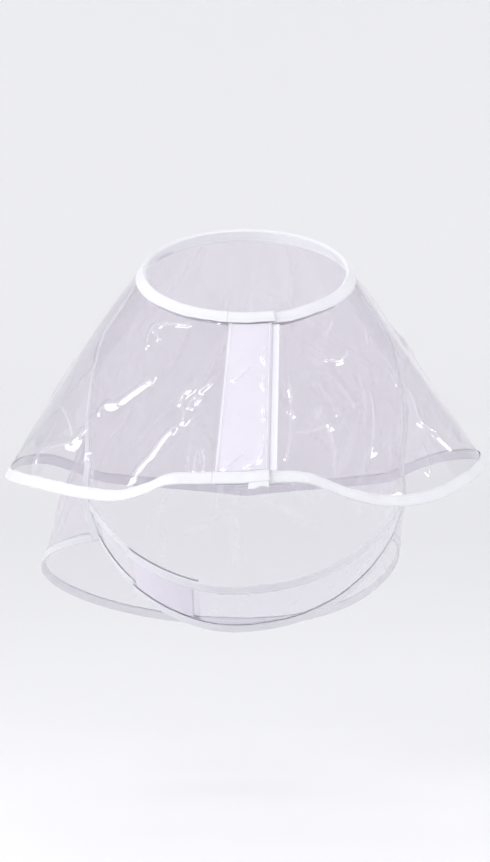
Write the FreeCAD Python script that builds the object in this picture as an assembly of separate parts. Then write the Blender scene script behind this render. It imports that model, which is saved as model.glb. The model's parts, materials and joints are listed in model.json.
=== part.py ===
import FreeCAD, Part
import bisect
import math
import os

os.makedirs("parts", exist_ok=True)

Vector = FreeCAD.Vector

# Clear rain cape and coat for a large dog, in the shape it has when worn by a sitting dog.
# Millimetres. Origin: the centre of the neck opening. +Z up, the chest faces -Y, +X is the
# dog's left. Angles run round the neck: 0 at the chest, 90 at +X, 180 at the back.

# ---------------------------------------------------------------- sheet and tape thickness
FILM = 0.8
TAPE = 0.5
CLEAR = 0.25
BINDING_WIDTH = 9.5
HOOK_LOOP = 1.0
HOOK_LOOP_GAP = 0.3
BODY_GAP = 0.3
THREAD_WIDTH = 0.6
THREAD_HEIGHT = 0.3
THREAD_LIFT = 0.08
THREAD_INSET = 7.2
# how round the binding's fold is on its outer and inner face
FOLD_OUTER = 0.6
FOLD_INNER = 0.4

# ---------------------------------------------------------------- neck opening
NECK_HALF_WIDTH = 92.0
NECK_HALF_DEPTH = 98.0
NECK_TILT = 34.0
COAT_NECK_INSET = 2.2
NECK_SEAM_ROOM = (3.2, 5.6)
COAT_SEAM_REACH = 0.11
COAT_SEAM_SHARE = 0.35

# ---------------------------------------------------------------- cape
CAPE_HALF_WIDTH = 218.0
CAPE_CENTRE_Y = 33.0
CAPE_FRONT_DEPTH = 223.0
CAPE_BACK_DEPTH = 234.0
# height of the hem round the cape (angle, z)
CAPE_HEM = [
    (-180, -232), (-141, -213), (-130, -199), (-119, -188), (-105, -185), (-90, -187), (-58, -186),
    (-37, -190), (-29, -189), (-23, -182), (-18, -174), (-10, -172), (0, -171), (6.5, -169),
    (13, -171), (20, -181), (25, -188), (32, -194), (42, -196), (51, -193), (58, -188),
    (66, -183), (76, -178), (90, -175), (105, -178), (120, -186), (131, -198), (141, -213),
    (180, -232),
]
# how far the cape bellies out half way down (angle, bulge), and the way it bellies
BULGE_OUT = 0.8
BULGE_UP = 0.6
CAPE_BULGE = [
    (-180, 8), (-135, 8), (-90, 6), (-50, 3), (-22, 0), (22, 0), (50, 2), (90, 2),
    (135, 6), (180, 8),
]

# ---------------------------------------------------------------- front placket
# distances from the centre line at the neck and at the hem
FLAP_HINGE_X = (-15.0, -28.5)
FLAP_FREE_X = (24.0, 20.0)
UNDER_EDGE_INSET = 3.0
LOOP_LEFT_INSET = 6.0
LOOP_RIGHT_REACH = 6.0
TAPE_SIDE_INSET = 1.2
PLACKET_DIP = FILM + 2 * CLEAR + 2 * HOOK_LOOP + HOOK_LOOP_GAP
DIP_MARGIN = 2.0
DIP_RUN_OUT = 30.0
TAPE_END_ROOM = 1.0
SEAM_INSET = 2.0
TAIL_WIDTH = 17.0
TAIL_DROP = 6.5
TAIL_INSET = 1.0
TAIL_GAP = 0.15
FLAP_AXIS_LIFT = 1.65

# ---------------------------------------------------------------- coat
# front (leg) edge of the coat on the +X side, from the neck to the belly band
COAT_EDGE = [
    (0.0, (90.0, -3.0, -1.0)), (0.11, (106.0, -8.0, -27.0)), (0.25, (128.0, -7.0, -62.0)),
    (0.45, (141.0, 9.0, -122.0)), (0.67, (143.0, 40.0, -181.0)), (0.82, (146.0, 71.0, -215.0)),
    (1.0, (137.0, 105.0, -256.0)),
]
# middle of the back
COAT_BACK = [
    (0.0, (0.0, 96.0, 34.0)), (0.25, (0.0, 157.0, -70.0)), (0.5, (0.0, 223.0, -174.0)),
    (0.75, (0.0, 295.0, -276.0)), (1.0, (0.0, 369.0, -378.0)),
]
# the way the coat leaves its front edge on each side, then how flat it lies over the back
COAT_LEFT_SIDE = [
    (0.0, (0.0, 54.0, 18.8)), (0.25, (8.0, 75.0, 12.0)), (0.5, (15.0, 95.0, 5.0)),
    (0.75, (14.0, 92.0, -12.0)), (1.0, (28.0, 88.0, -25.0)),
]
COAT_RIGHT_SIDE = [
    (0.0, (0.0, 54.0, 18.8)), (0.25, (8.0, 75.0, 12.0)), (0.5, (25.0, 95.0, 5.0)),
    (0.75, (75.0, 95.0, -15.0)), (1.0, (138.0, 85.0, -30.0)),
]
COAT_LEFT_FLAT = [(0.0, 49.0), (0.25, 75.0), (0.5, 92.0), (0.75, 115.0), (1.0, 135.0)]
COAT_RIGHT_FLAT = [(0.0, 49.0), (0.25, 75.0), (0.5, 97.0), (0.75, 128.0), (1.0, 160.0)]
# where the film starts inside the neck binding, where the hem binding stops beside each leg
# binding, and where the leg bindings start
COAT_TOP = 0.012
COAT_HEM_ENDS = (-0.975, 0.962)
COAT_LEG_START = 0.055

# ---------------------------------------------------------------- belly band
BAND_FRONT_EDGE = 0.82
BAND_FRONT_BOTTOM = (0.0, 29.0, -289.0)
BAND_REAR_BOTTOM = (0.0, 75.0, -337.0)
BAND_END_INSET = 1.8
BAND_LEFT_END = -0.25
BAND_RIGHT_END = -0.66
BAND_DIP_START = -0.2
BAND_DIP_END = 0.15
BAND_TAPE_INSET = 0.03
BAND_AXIS_LIFT = 1.65
BAND_AXIS_BEYOND = 0.002

# ---------------------------------------------------------------- how finely the shapes are drawn
CAPE_STATIONS = 181
NECK_STATIONS = 121
CAPE_RUNS = 9
FLAP_STATIONS = 7
TAIL_STATIONS = 5
COAT_STATIONS = 49
COAT_ROWS = 21
HEM_STATIONS = 73
LEG_STATIONS = 33
BAND_STATIONS = 25
BAND_ROWS = 5
BAND_TAPE_STATIONS = 9
ANGLE_NUDGE = 0.2
SHARE_NUDGE = 0.004
EDGE_STEP = 0.01


# ---------------------------------------------------------------- curves
def blend(low, high, share):
    """Return the value a share of the way from low to high."""
    return low + (high - low) * share


def smooth_step(share):
    """Return a smooth rise from 0 to 1 as share goes from 0 to 1."""
    share = max(0.0, min(1.0, share))
    return share * share * (3.0 - 2.0 * share)


def through(table, where):
    """Return the value at a place on a smooth curve through (place, number) rows."""
    places = [row[0] for row in table]
    index = min(max(bisect.bisect_right(places, where) - 1, 0), len(table) - 2)
    start, end = places[index], places[index + 1]
    low, high = table[index][1], table[index + 1][1]
    step = end - start

    def slope(knot):
        before = max(knot - 1, 0)
        after = min(knot + 1, len(table) - 1)
        return (table[after][1] - table[before][1]) / (places[after] - places[before])

    share = (where - start) / step
    if share < 0.0:
        return low + slope(index) * (where - start)
    if share > 1.0:
        return high + slope(index + 1) * (where - end)
    square, cube = share * share, share ** 3
    return (
        (2 * cube - 3 * square + 1) * low + (cube - 2 * square + share) * step * slope(index)
        + (3 * square - 2 * cube) * high + (cube - square) * step * slope(index + 1)
    )


def through_points(table, where):
    """Return the point at a place on a smooth curve through (place, point) rows."""
    return Vector(*(through([(row[0], row[1][axis]) for row in table], where) for axis in range(3)))


def lifted(surface, first, second, lift):
    """Return the point of a surface raised along its normal."""
    if lift == 0.0:
        return surface(first, second)
    nudge_first, nudge_second = surface.nudge
    along = surface(first + nudge_first, second) - surface(first - nudge_first, second)
    across = surface(first, second + nudge_second) - surface(first, second - nudge_second)
    normal = across.cross(along).normalize() * surface.side
    return surface(first, second) + normal * lift


class Surface:
    """A curved sheet given by a function of two numbers, with a known outer side."""

    def __init__(self, function, nudge, side, dip=None):
        self.function = function
        self.nudge = nudge
        self.side = side
        self.dip = dip

    def __call__(self, first, second):
        return self.function(first, second)

    def point(self, first, second, lift=0.0):
        """Return a point lifted off the middle of the sheet."""
        dip = self.dip(first, second) if self.dip else 0.0
        return lifted(self, first, second, lift + dip)


# ---------------------------------------------------------------- cape surface
def cape_base(angle, run):
    """Return the cape's point at an angle, run 0 at the neck and 1 at the hem."""
    turn = math.radians(angle)
    sine, cosine = math.sin(turn), math.cos(turn)
    depth = CAPE_FRONT_DEPTH if cosine > 0 else CAPE_BACK_DEPTH
    table_angle = (angle + 180.0) % 360.0 - 180.0
    neck = Vector(NECK_HALF_WIDTH * sine, -NECK_HALF_DEPTH * cosine, -NECK_TILT * cosine)
    hem = Vector(
        CAPE_HALF_WIDTH * sine, CAPE_CENTRE_Y - depth * cosine, through(CAPE_HEM, table_angle)
    )
    bulge = through(CAPE_BULGE, table_angle) * 4.0 * run * (1.0 - run)
    return neck + (hem - neck) * run + Vector(BULGE_OUT * sine, -BULGE_OUT * cosine, BULGE_UP) * bulge


def cape_half_width(run):
    """Return the cape's half width at a run down from the neck."""
    return blend(NECK_HALF_WIDTH, CAPE_HALF_WIDTH, run)


def angle_at(distance, run):
    """Return the angle whose point lies this far to the side of the centre line."""
    return math.degrees(math.asin(distance / cape_half_width(run)))


def hinge_x(run):
    """Return the side distance of the flap's sewn edge."""
    return blend(FLAP_HINGE_X[0], FLAP_HINGE_X[1], run)


def free_x(run):
    """Return the side distance of the flap's free edge."""
    return blend(FLAP_FREE_X[0], FLAP_FREE_X[1], run)


def placket_dip(angle, run):
    """Return how far the +X front panel dips to pass under the flap."""
    if angle > 90.0:
        return 0.0
    distance = math.sin(math.radians(angle)) * cape_half_width(run)
    start = free_x(run) + LOOP_RIGHT_REACH + DIP_MARGIN
    return -PLACKET_DIP * (1.0 - smooth_step((distance - start) / DIP_RUN_OUT))


CAPE = Surface(cape_base, (ANGLE_NUDGE, SHARE_NUDGE), 1.0, placket_dip)
FLAP = Surface(cape_base, (ANGLE_NUDGE, SHARE_NUDGE), 1.0)


# ---------------------------------------------------------------- coat surface
def coat_base(across, down):
    """Return the coat's point, across -1 to 1 from leg edge to leg edge, down 0 to 1."""
    edge = through_points(COAT_EDGE, down)
    back = through_points(COAT_BACK, down)
    if down < COAT_SEAM_REACH:
        inset = COAT_NECK_INSET * (1.0 - down / COAT_SEAM_REACH)
        edge.x = edge.x - COAT_SEAM_SHARE * inset
    on_left = across >= 0
    leave = edge + through_points(COAT_LEFT_SIDE if on_left else COAT_RIGHT_SIDE, down)
    arrive = back + Vector(through(COAT_LEFT_FLAT if on_left else COAT_RIGHT_FLAT, down), 0.0, 0.0)
    share = 1.0 - abs(across)
    rest = 1.0 - share
    point = (
        edge * rest ** 3 + leave * (3 * rest * rest * share)
        + arrive * (3 * rest * share * share) + back * share ** 3
    )
    return Vector(point.x if on_left else -point.x, point.y, point.z)


COAT = Surface(coat_base, (SHARE_NUDGE, SHARE_NUDGE), -1.0)


# ---------------------------------------------------------------- belly band surface
def band_base(turn, width):
    """Return the band's point, turn -1 to 1 from leg edge to leg edge, width 0 front to 1 rear."""
    end = through_points(COAT_EDGE, blend(BAND_FRONT_EDGE, 1.0, width))
    front, rear = Vector(*BAND_FRONT_BOTTOM), Vector(*BAND_REAR_BOTTOM)
    bottom = front + (rear - front) * width
    drop = Vector(0.0, bottom.y - end.y, bottom.z - end.z)
    depth = drop.Length
    radius = (end.x * end.x + depth * depth) / (2.0 * depth)
    sweep = math.asin(end.x / radius) * turn
    centre = bottom - drop.normalize() * radius
    return centre + drop * (radius * math.cos(sweep)) + Vector(radius * math.sin(sweep), 0.0, 0.0)


def band_dip(turn, width):
    """Return how far the +X half stands off to pass outside the -X half."""
    share = (turn - BAND_DIP_START) / (BAND_DIP_END - BAND_DIP_START)
    return PLACKET_DIP * (1.0 - smooth_step(share))


BAND_INNER = Surface(band_base, (SHARE_NUDGE, SHARE_NUDGE), 1.0)
BAND_OUTER = Surface(band_base, (SHARE_NUDGE, SHARE_NUDGE), 1.0, band_dip)


# ---------------------------------------------------------------- solids
def closed_solid(faces):
    """Return one solid from faces that meet edge to edge."""
    shell = Part.makeShell(faces)
    shell.sewShape()
    solid = Part.makeSolid(shell)
    if solid.Volume < 0:
        solid.reverse()
    return solid


def spline_face(grid):
    """Return a smooth face through a grid of points."""
    surface = Part.BSplineSurface()
    surface.interpolate(grid)
    return surface.toShape()


def ruled(first, second):
    """Return the face between two edges that run the same way."""
    same_way = 1
    return Part.makeRuledSurface(first, second, same_way)


def spline_edge(points):
    """Return a smooth edge through points, or a straight one through two."""
    if len(points) == 2:
        return Part.makeLine(points[0], points[1])
    curve = Part.BSplineCurve()
    curve.interpolate(points)
    return curve.toShape()


def face_border(face):
    """Return the four border curves of a spline face as edges."""
    surface = face.Surface
    first_low, first_high, second_low, second_high = surface.bounds()
    return [
        surface.uIso(first_low).toShape(), surface.vIso(second_high).toShape(),
        surface.uIso(first_high).toShape(), surface.vIso(second_low).toShape(),
    ]


def sheet(place, firsts, seconds, low, high):
    """Return a curved sheet between two lifts of place(first, second, lift)."""
    upper = spline_face([[place(a, b, high) for b in seconds] for a in firsts])
    lower = spline_face([[place(a, b, low) for b in seconds] for a in firsts])
    sides = [ruled(top, bottom) for top, bottom in zip(face_border(upper), face_border(lower))]
    return closed_solid([upper, lower] + sides)


def ribbon(outer_rails, inner_rails):
    """Return a long solid whose section lies between two rows of rails."""
    outer = [spline_edge(rail) for rail in outer_rails]
    inner = [spline_edge(rail) for rail in inner_rails]
    faces = []
    for index in range(len(outer) - 1):
        faces.append(ruled(outer[index], outer[index + 1]))
        faces.append(ruled(inner[index], inner[index + 1]))
        for end in (0, -1):
            faces.append(ruled(
                Part.makeLine(outer_rails[index][end], outer_rails[index + 1][end]),
                Part.makeLine(inner_rails[index][end], inner_rails[index + 1][end]),
            ))
    faces.append(ruled(outer[0], inner[0]))
    faces.append(ruled(outer[-1], inner[-1]))
    return closed_solid(faces)


def spread(start, end, count):
    """Return count numbers spread evenly from start to end."""
    return [blend(start, end, index / (count - 1)) for index in range(count)]


def save(name, shape):
    """Write one piece as a STEP file."""
    shape.exportStep(os.path.join("parts", name + ".step"))


# ---------------------------------------------------------------- edges
def edge_rail(surface, edge, inward, along_first=True):
    """Return rail(station, inset, lift) for the edge of a sheet, inset measured from the edge."""
    def rail(station, inset, lift):
        def at(place, raised=0.0):
            if along_first:
                return surface.point(station, place, raised)
            return surface.point(place, station, raised)
        slope = (at(edge) - at(edge - inward * EDGE_STEP)).Length / EDGE_STEP
        return at(edge + inward * inset / slope, lift)
    return rail


def binding(rail, stations, inner_extra=(0.0, 0.0)):
    """Return a tape folded over an edge, its inner leg let out by inner_extra at fold and lip."""
    half = FILM / 2 + CLEAR
    fold, lip = inner_extra
    insets = [BINDING_WIDTH, BINDING_WIDTH / 2, 0.0]
    outer_path = [(inset, half + TAPE) for inset in insets] + [(-CLEAR - TAPE, half * FOLD_OUTER)]
    inner_path = [(inset, half) for inset in insets] + [(-CLEAR, half * FOLD_INNER)]
    legs = [0.0, BINDING_WIDTH / 2, BINDING_WIDTH]
    drops = [fold, (fold + lip) / 2, lip]
    outer_path += [(-CLEAR - TAPE, -half * FOLD_OUTER - fold)]
    inner_path += [(-CLEAR, -half * FOLD_INNER - fold)]
    outer_path += [(inset, -half - TAPE - drop) for inset, drop in zip(legs, drops)]
    inner_path += [(inset, -half - drop) for inset, drop in zip(legs, drops)]
    return ribbon(
        [[rail(station, *place) for station in stations] for place in outer_path],
        [[rail(station, *place) for station in stations] for place in inner_path],
    )


def thread_row(rail, stations, inset, base):
    """Return a row of stitching that lies on a face raised by base."""
    low = base + THREAD_LIFT
    near, far = inset - THREAD_WIDTH / 2, inset + THREAD_WIDTH / 2
    return ribbon(
        [[rail(station, near, low + THREAD_HEIGHT) for station in stations],
         [rail(station, far, low + THREAD_HEIGHT) for station in stations]],
        [[rail(station, near, low) for station in stations],
         [rail(station, far, low) for station in stations]],
    )


BINDING_FACE = FILM / 2 + CLEAR + TAPE
TAPE_FACE = FILM / 2 + CLEAR + HOOK_LOOP


# ---------------------------------------------------------------- cape pieces
def cape_start(run):
    """Return the angle of the +X front panel's hidden edge."""
    return angle_at(hinge_x(run) + UNDER_EDGE_INSET, run)


def cape_end(run):
    """Return the angle of the -X front panel's edge at the flap's sewn line."""
    return 360.0 + angle_at(hinge_x(run) - BODY_GAP / 2, run)


def cape_place(share, run, lift):
    """Return a point of the cape, share 0 to 1 from its hidden edge round to the flap."""
    return CAPE.point(blend(cape_start(run), cape_end(run), share), run, lift)


def make_cape():
    """Write the cape's film, hem binding and hem thread."""
    shares, runs = spread(0, 1, CAPE_STATIONS), spread(0, 1, CAPE_RUNS)
    save("cape_film", sheet(cape_place, shares, runs, -FILM / 2, FILM / 2))
    rail = edge_rail(CAPE, 1.0, -1.0)
    stations = spread(cape_start(1.0), cape_end(1.0), CAPE_STATIONS)
    save("cape_hem_binding", binding(rail, stations))
    save("cape_hem_thread", thread_row(rail, stations, THREAD_INSET, BINDING_FACE))


def make_neck():
    """Write the neck binding, which also takes the coat's edge, and its thread."""
    rail = edge_rail(CAPE, 0.0, 1.0)
    stations = spread(cape_start(0.0), cape_end(0.0), NECK_STATIONS)
    save("neck_binding", binding(rail, stations, NECK_SEAM_ROOM))
    save("neck_thread", thread_row(rail, stations, THREAD_INSET, BINDING_FACE))


# ---------------------------------------------------------------- placket pieces
def strip_place(surface, left, right):
    """Return place(share, run, lift) between two side distances given by run."""
    def place(share, run, lift):
        return surface.point(angle_at(blend(left(run), right(run), share), run), run, lift)
    return place


def upright_rail(surface, line):
    """Return rail(run, inset, lift) beside an upright line given by its side distance."""
    def rail(run, inset, lift):
        return surface.point(angle_at(line(run) + inset, run), run, lift)
    return rail


def make_placket():
    """Write the flap's film, tapes, bindings and threads, and the under strip."""
    runs = spread(0.0, 1.0, CAPE_RUNS)
    front_length = (cape_base(0, 1.0) - cape_base(0, 0.0)).Length
    clear_run = (BINDING_WIDTH + TAPE_END_ROOM) / front_length
    tape_runs = spread(clear_run, 1.0 - clear_run, CAPE_RUNS)

    def flap_left(run):
        return hinge_x(run) + BODY_GAP / 2

    def hook_left(run):
        return hinge_x(run) + TAPE_SIDE_INSET

    def hook_right(run):
        return free_x(run) - TAPE_SIDE_INSET

    def loop_left(run):
        return hinge_x(run) + LOOP_LEFT_INSET

    def loop_right(run):
        return free_x(run) + LOOP_RIGHT_REACH

    shares = spread(0.0, 1.0, FLAP_STATIONS)
    film = sheet(strip_place(FLAP, flap_left, free_x), shares, runs, -FILM / 2, FILM / 2)
    save("flap_film", film)
    hook = sheet(
        strip_place(FLAP, hook_left, hook_right), shares, tape_runs,
        -TAPE_FACE, -FILM / 2 - CLEAR,
    )
    save("flap_hook_tape", hook)
    loop = sheet(
        strip_place(CAPE, loop_left, loop_right), shares, tape_runs,
        FILM / 2 + CLEAR, TAPE_FACE,
    )
    save("placket_loop_tape", loop)

    hem_rail = edge_rail(FLAP, 1.0, -1.0)
    hem_ends = angle_at(flap_left(1.0), 1.0), angle_at(free_x(1.0), 1.0)
    hem_stations = spread(*hem_ends, FLAP_STATIONS)
    save("flap_hem_binding", binding(hem_rail, hem_stations))
    save("flap_hem_thread", thread_row(hem_rail, hem_stations, THREAD_INSET, BINDING_FACE))
    neck_rail = edge_rail(FLAP, 0.0, 1.0)
    neck_ends = angle_at(flap_left(0.0), 0.0), angle_at(free_x(0.0), 0.0)
    neck_stations = spread(*neck_ends, FLAP_STATIONS)
    save("flap_neck_binding", binding(neck_rail, neck_stations))

    tail_right = free_x(1.0) - TAIL_INSET
    tail_top = 1.0 + (CLEAR + TAPE + TAIL_GAP) / front_length
    tail_bottom = 1.0 + TAIL_DROP / front_length
    tail = sheet(
        strip_place(FLAP, lambda run: tail_right - TAIL_WIDTH, lambda run: tail_right),
        spread(0.0, 1.0, TAIL_STATIONS), spread(tail_top, tail_bottom, TAIL_STATIONS),
        -TAPE, TAPE,
    )
    save("flap_binding_tail", tail)

    thread_runs = spread(tape_runs[0], tape_runs[-1], CAPE_RUNS)
    seam_inset = TAPE_SIDE_INSET + SEAM_INSET
    save("flap_seam_thread_left", thread_row(
        upright_rail(FLAP, hinge_x), thread_runs, seam_inset, FILM / 2))
    save("flap_seam_thread_right", thread_row(
        upright_rail(FLAP, free_x), thread_runs, -seam_inset, FILM / 2))
    save("loop_tape_thread", thread_row(
        upright_rail(CAPE, loop_right), thread_runs, -SEAM_INSET, TAPE_FACE))


# ---------------------------------------------------------------- coat pieces
def make_coat():
    """Write the coat's film, its hem and leg bindings and their threads."""
    across, down = spread(-1, 1, COAT_STATIONS), spread(COAT_TOP, 1, COAT_ROWS)
    save("coat_film", sheet(COAT.point, across, down, -FILM / 2, FILM / 2))
    hem_rail = edge_rail(COAT, 1.0, -1.0)
    hem_stations = spread(*COAT_HEM_ENDS, HEM_STATIONS)
    save("coat_hem_binding", binding(hem_rail, hem_stations))
    save("coat_hem_thread", thread_row(hem_rail, hem_stations, THREAD_INSET, BINDING_FACE))
    leg_stations = spread(COAT_LEG_START, 1.0, LEG_STATIONS)
    for name, side in (("left", 1.0), ("right", -1.0)):
        leg_rail = edge_rail(COAT, side, -side, along_first=False)
        save("coat_" + name + "_leg_binding", binding(leg_rail, leg_stations))
        save("coat_" + name + "_leg_thread", thread_row(
            leg_rail, leg_stations, THREAD_INSET, BINDING_FACE))


# ---------------------------------------------------------------- belly band pieces
def band_end_turn(side):
    """Return the turn at which the band stops short of the leg binding."""
    middle = band_base(side, 0.5)
    slope = (middle - band_base(side * (1.0 - EDGE_STEP), 0.5)).Length / EDGE_STEP
    return side * (1.0 - BAND_END_INSET / slope)


def make_band_half(name, surface, start, end, tape_ends, tape_name, tape_lifts):
    """Write one half of the belly band: film, front and rear bindings, threads and tape."""
    turns, widths = spread(start, end, BAND_STATIONS), spread(0, 1, BAND_ROWS)
    save("band_" + name + "_film", sheet(surface.point, turns, widths, -FILM / 2, FILM / 2))
    for edge_name, edge, inward in (("front", 0.0, 1.0), ("rear", 1.0, -1.0)):
        rail = edge_rail(surface, edge, inward)
        save("band_" + name + "_" + edge_name + "_binding", binding(rail, turns))
        save("band_" + name + "_" + edge_name + "_thread", thread_row(
            rail, turns, THREAD_INSET, BINDING_FACE))
    band_width = (surface.point(0.0, 1.0) - surface.point(0.0, 0.0)).Length
    width_clear = (BINDING_WIDTH + TAPE_END_ROOM) / band_width
    tape = sheet(
        surface.point, spread(*tape_ends, BAND_TAPE_STATIONS),
        spread(width_clear, 1.0 - width_clear, BAND_ROWS), *tape_lifts,
    )
    save(tape_name, tape)


def make_band():
    """Write both halves of the belly band."""
    tape_ends = BAND_RIGHT_END + BAND_TAPE_INSET, BAND_LEFT_END - BAND_TAPE_INSET
    make_band_half(
        "right", BAND_INNER, band_end_turn(-1.0), BAND_LEFT_END,
        tape_ends, "band_loop_tape", (FILM / 2 + CLEAR, TAPE_FACE),
    )
    make_band_half(
        "left", BAND_OUTER, BAND_RIGHT_END, band_end_turn(1.0),
        tape_ends, "band_hook_tape", (-TAPE_FACE, -FILM / 2 - CLEAR),
    )


def report_axes():
    """Print the joint axes and the real lengths that the record and the report state."""
    flap_top = FLAP.point(angle_at(hinge_x(0.0), 0.0), 0.0, FLAP_AXIS_LIFT)
    flap_bottom = FLAP.point(angle_at(hinge_x(1.0), 1.0), 1.0, FLAP_AXIS_LIFT)
    print("flap hinge", flap_top, (flap_bottom - flap_top).normalize())
    end = band_end_turn(1.0) + BAND_AXIS_BEYOND
    band_rear = BAND_OUTER.point(end, 1.0, BAND_AXIS_LIFT)
    band_front = BAND_OUTER.point(end, 0.0, BAND_AXIS_LIFT)
    print("band hinge", (band_rear + band_front) * 0.5, (band_front - band_rear).normalize())


make_cape()
make_neck()
make_placket()
make_coat()
make_band()
report_axes()
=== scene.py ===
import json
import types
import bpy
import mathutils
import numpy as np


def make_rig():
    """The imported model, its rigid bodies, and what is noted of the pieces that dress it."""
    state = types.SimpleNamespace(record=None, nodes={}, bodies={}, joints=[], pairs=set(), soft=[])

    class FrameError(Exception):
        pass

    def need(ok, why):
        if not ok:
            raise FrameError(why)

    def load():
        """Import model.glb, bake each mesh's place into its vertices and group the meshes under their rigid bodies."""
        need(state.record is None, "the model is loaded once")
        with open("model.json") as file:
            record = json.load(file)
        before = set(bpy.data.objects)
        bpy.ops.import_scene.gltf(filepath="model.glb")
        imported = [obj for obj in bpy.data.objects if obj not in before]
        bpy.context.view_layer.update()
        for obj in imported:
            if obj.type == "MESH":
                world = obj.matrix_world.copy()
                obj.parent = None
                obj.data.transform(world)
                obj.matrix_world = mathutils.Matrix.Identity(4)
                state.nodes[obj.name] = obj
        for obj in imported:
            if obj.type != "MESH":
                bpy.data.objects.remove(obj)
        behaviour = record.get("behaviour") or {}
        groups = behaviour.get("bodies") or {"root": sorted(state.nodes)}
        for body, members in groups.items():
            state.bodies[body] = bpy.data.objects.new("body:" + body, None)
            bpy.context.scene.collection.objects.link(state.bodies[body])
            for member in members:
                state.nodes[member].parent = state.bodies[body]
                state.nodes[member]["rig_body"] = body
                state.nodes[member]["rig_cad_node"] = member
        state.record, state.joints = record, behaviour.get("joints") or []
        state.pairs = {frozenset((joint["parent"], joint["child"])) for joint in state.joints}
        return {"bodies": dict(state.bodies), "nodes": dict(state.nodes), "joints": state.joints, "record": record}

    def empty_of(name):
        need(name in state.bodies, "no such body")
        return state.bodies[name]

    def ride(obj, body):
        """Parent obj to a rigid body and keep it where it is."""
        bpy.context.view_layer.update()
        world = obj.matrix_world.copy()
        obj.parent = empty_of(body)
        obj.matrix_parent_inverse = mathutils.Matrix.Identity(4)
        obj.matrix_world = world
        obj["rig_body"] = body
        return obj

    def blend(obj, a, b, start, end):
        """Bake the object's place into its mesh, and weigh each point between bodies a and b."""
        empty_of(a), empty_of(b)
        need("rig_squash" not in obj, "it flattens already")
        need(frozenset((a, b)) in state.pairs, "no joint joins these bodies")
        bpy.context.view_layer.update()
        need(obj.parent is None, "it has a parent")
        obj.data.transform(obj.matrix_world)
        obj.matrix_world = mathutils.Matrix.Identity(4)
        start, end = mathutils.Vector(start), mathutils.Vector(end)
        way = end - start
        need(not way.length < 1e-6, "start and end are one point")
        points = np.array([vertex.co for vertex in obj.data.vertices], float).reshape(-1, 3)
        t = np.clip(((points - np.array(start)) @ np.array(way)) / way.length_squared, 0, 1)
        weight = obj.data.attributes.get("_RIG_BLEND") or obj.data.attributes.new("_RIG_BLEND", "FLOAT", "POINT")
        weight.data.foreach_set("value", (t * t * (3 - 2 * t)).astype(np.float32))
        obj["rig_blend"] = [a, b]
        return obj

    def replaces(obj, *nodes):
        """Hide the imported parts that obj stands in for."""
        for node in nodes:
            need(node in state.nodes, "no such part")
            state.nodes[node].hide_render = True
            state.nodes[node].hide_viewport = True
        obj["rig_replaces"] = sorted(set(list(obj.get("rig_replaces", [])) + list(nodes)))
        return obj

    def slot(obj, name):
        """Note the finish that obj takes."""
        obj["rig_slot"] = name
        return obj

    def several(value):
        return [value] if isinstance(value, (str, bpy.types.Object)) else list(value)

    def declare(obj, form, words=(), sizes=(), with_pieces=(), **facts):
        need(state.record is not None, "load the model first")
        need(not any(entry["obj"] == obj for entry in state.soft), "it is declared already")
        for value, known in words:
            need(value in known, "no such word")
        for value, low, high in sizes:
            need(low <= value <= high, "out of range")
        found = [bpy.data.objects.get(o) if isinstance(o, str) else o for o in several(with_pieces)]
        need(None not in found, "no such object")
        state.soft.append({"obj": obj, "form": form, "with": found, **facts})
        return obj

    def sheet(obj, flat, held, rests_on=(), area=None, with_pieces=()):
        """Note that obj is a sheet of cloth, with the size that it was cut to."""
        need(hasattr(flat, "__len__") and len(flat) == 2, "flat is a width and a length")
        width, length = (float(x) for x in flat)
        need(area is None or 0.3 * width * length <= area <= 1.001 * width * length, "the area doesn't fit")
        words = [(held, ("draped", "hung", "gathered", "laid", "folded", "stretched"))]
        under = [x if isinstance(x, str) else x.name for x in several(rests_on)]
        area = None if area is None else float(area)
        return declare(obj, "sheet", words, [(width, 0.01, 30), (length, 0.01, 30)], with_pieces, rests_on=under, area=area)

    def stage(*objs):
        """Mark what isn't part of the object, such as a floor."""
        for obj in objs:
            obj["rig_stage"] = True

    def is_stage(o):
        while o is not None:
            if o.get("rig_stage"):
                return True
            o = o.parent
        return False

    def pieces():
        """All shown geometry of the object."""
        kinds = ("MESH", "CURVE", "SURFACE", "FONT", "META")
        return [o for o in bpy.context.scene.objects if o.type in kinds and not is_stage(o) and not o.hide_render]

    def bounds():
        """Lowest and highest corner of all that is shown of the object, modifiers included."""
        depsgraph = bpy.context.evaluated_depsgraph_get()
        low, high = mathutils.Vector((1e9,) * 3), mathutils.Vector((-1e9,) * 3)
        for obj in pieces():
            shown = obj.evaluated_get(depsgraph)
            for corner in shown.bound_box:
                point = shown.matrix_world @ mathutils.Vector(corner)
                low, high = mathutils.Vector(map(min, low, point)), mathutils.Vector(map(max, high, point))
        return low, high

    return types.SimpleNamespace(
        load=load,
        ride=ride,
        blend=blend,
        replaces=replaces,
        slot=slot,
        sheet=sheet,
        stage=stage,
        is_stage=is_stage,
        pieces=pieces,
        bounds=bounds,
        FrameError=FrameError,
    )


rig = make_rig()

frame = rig.load()
cad_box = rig.bounds()

import json
import logging
import math
from collections.abc import Callable
from dataclasses import dataclass, field
from enum import Enum

import bpy
import numpy as np
from mathutils import Vector

# Clear rain cape and coat for a large dog. Metres, in the part's own frame: the origin is the
# middle of the neck opening, +Z is up, the chest faces -Y and +X is the dog's left.

Array = np.ndarray
Place = Callable[[Array, Array, Array], Array]
EdgeAt = Callable[[Array], Array]
log = logging.getLogger("rain_cape")


# ------------------------------------------------------------------ curves
def blend(low: Array | float, high: Array | float, share: Array | float) -> Array | float:
    """Return the value a share of the way from low to high."""
    return low + (high - low) * share


def smooth_step(share: Array | float) -> Array:
    """Return a smooth rise from 0 to 1 as share goes from 0 to 1."""
    held = np.clip(share, 0.0, 1.0)
    return held * held * (3.0 - 2.0 * held)


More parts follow.
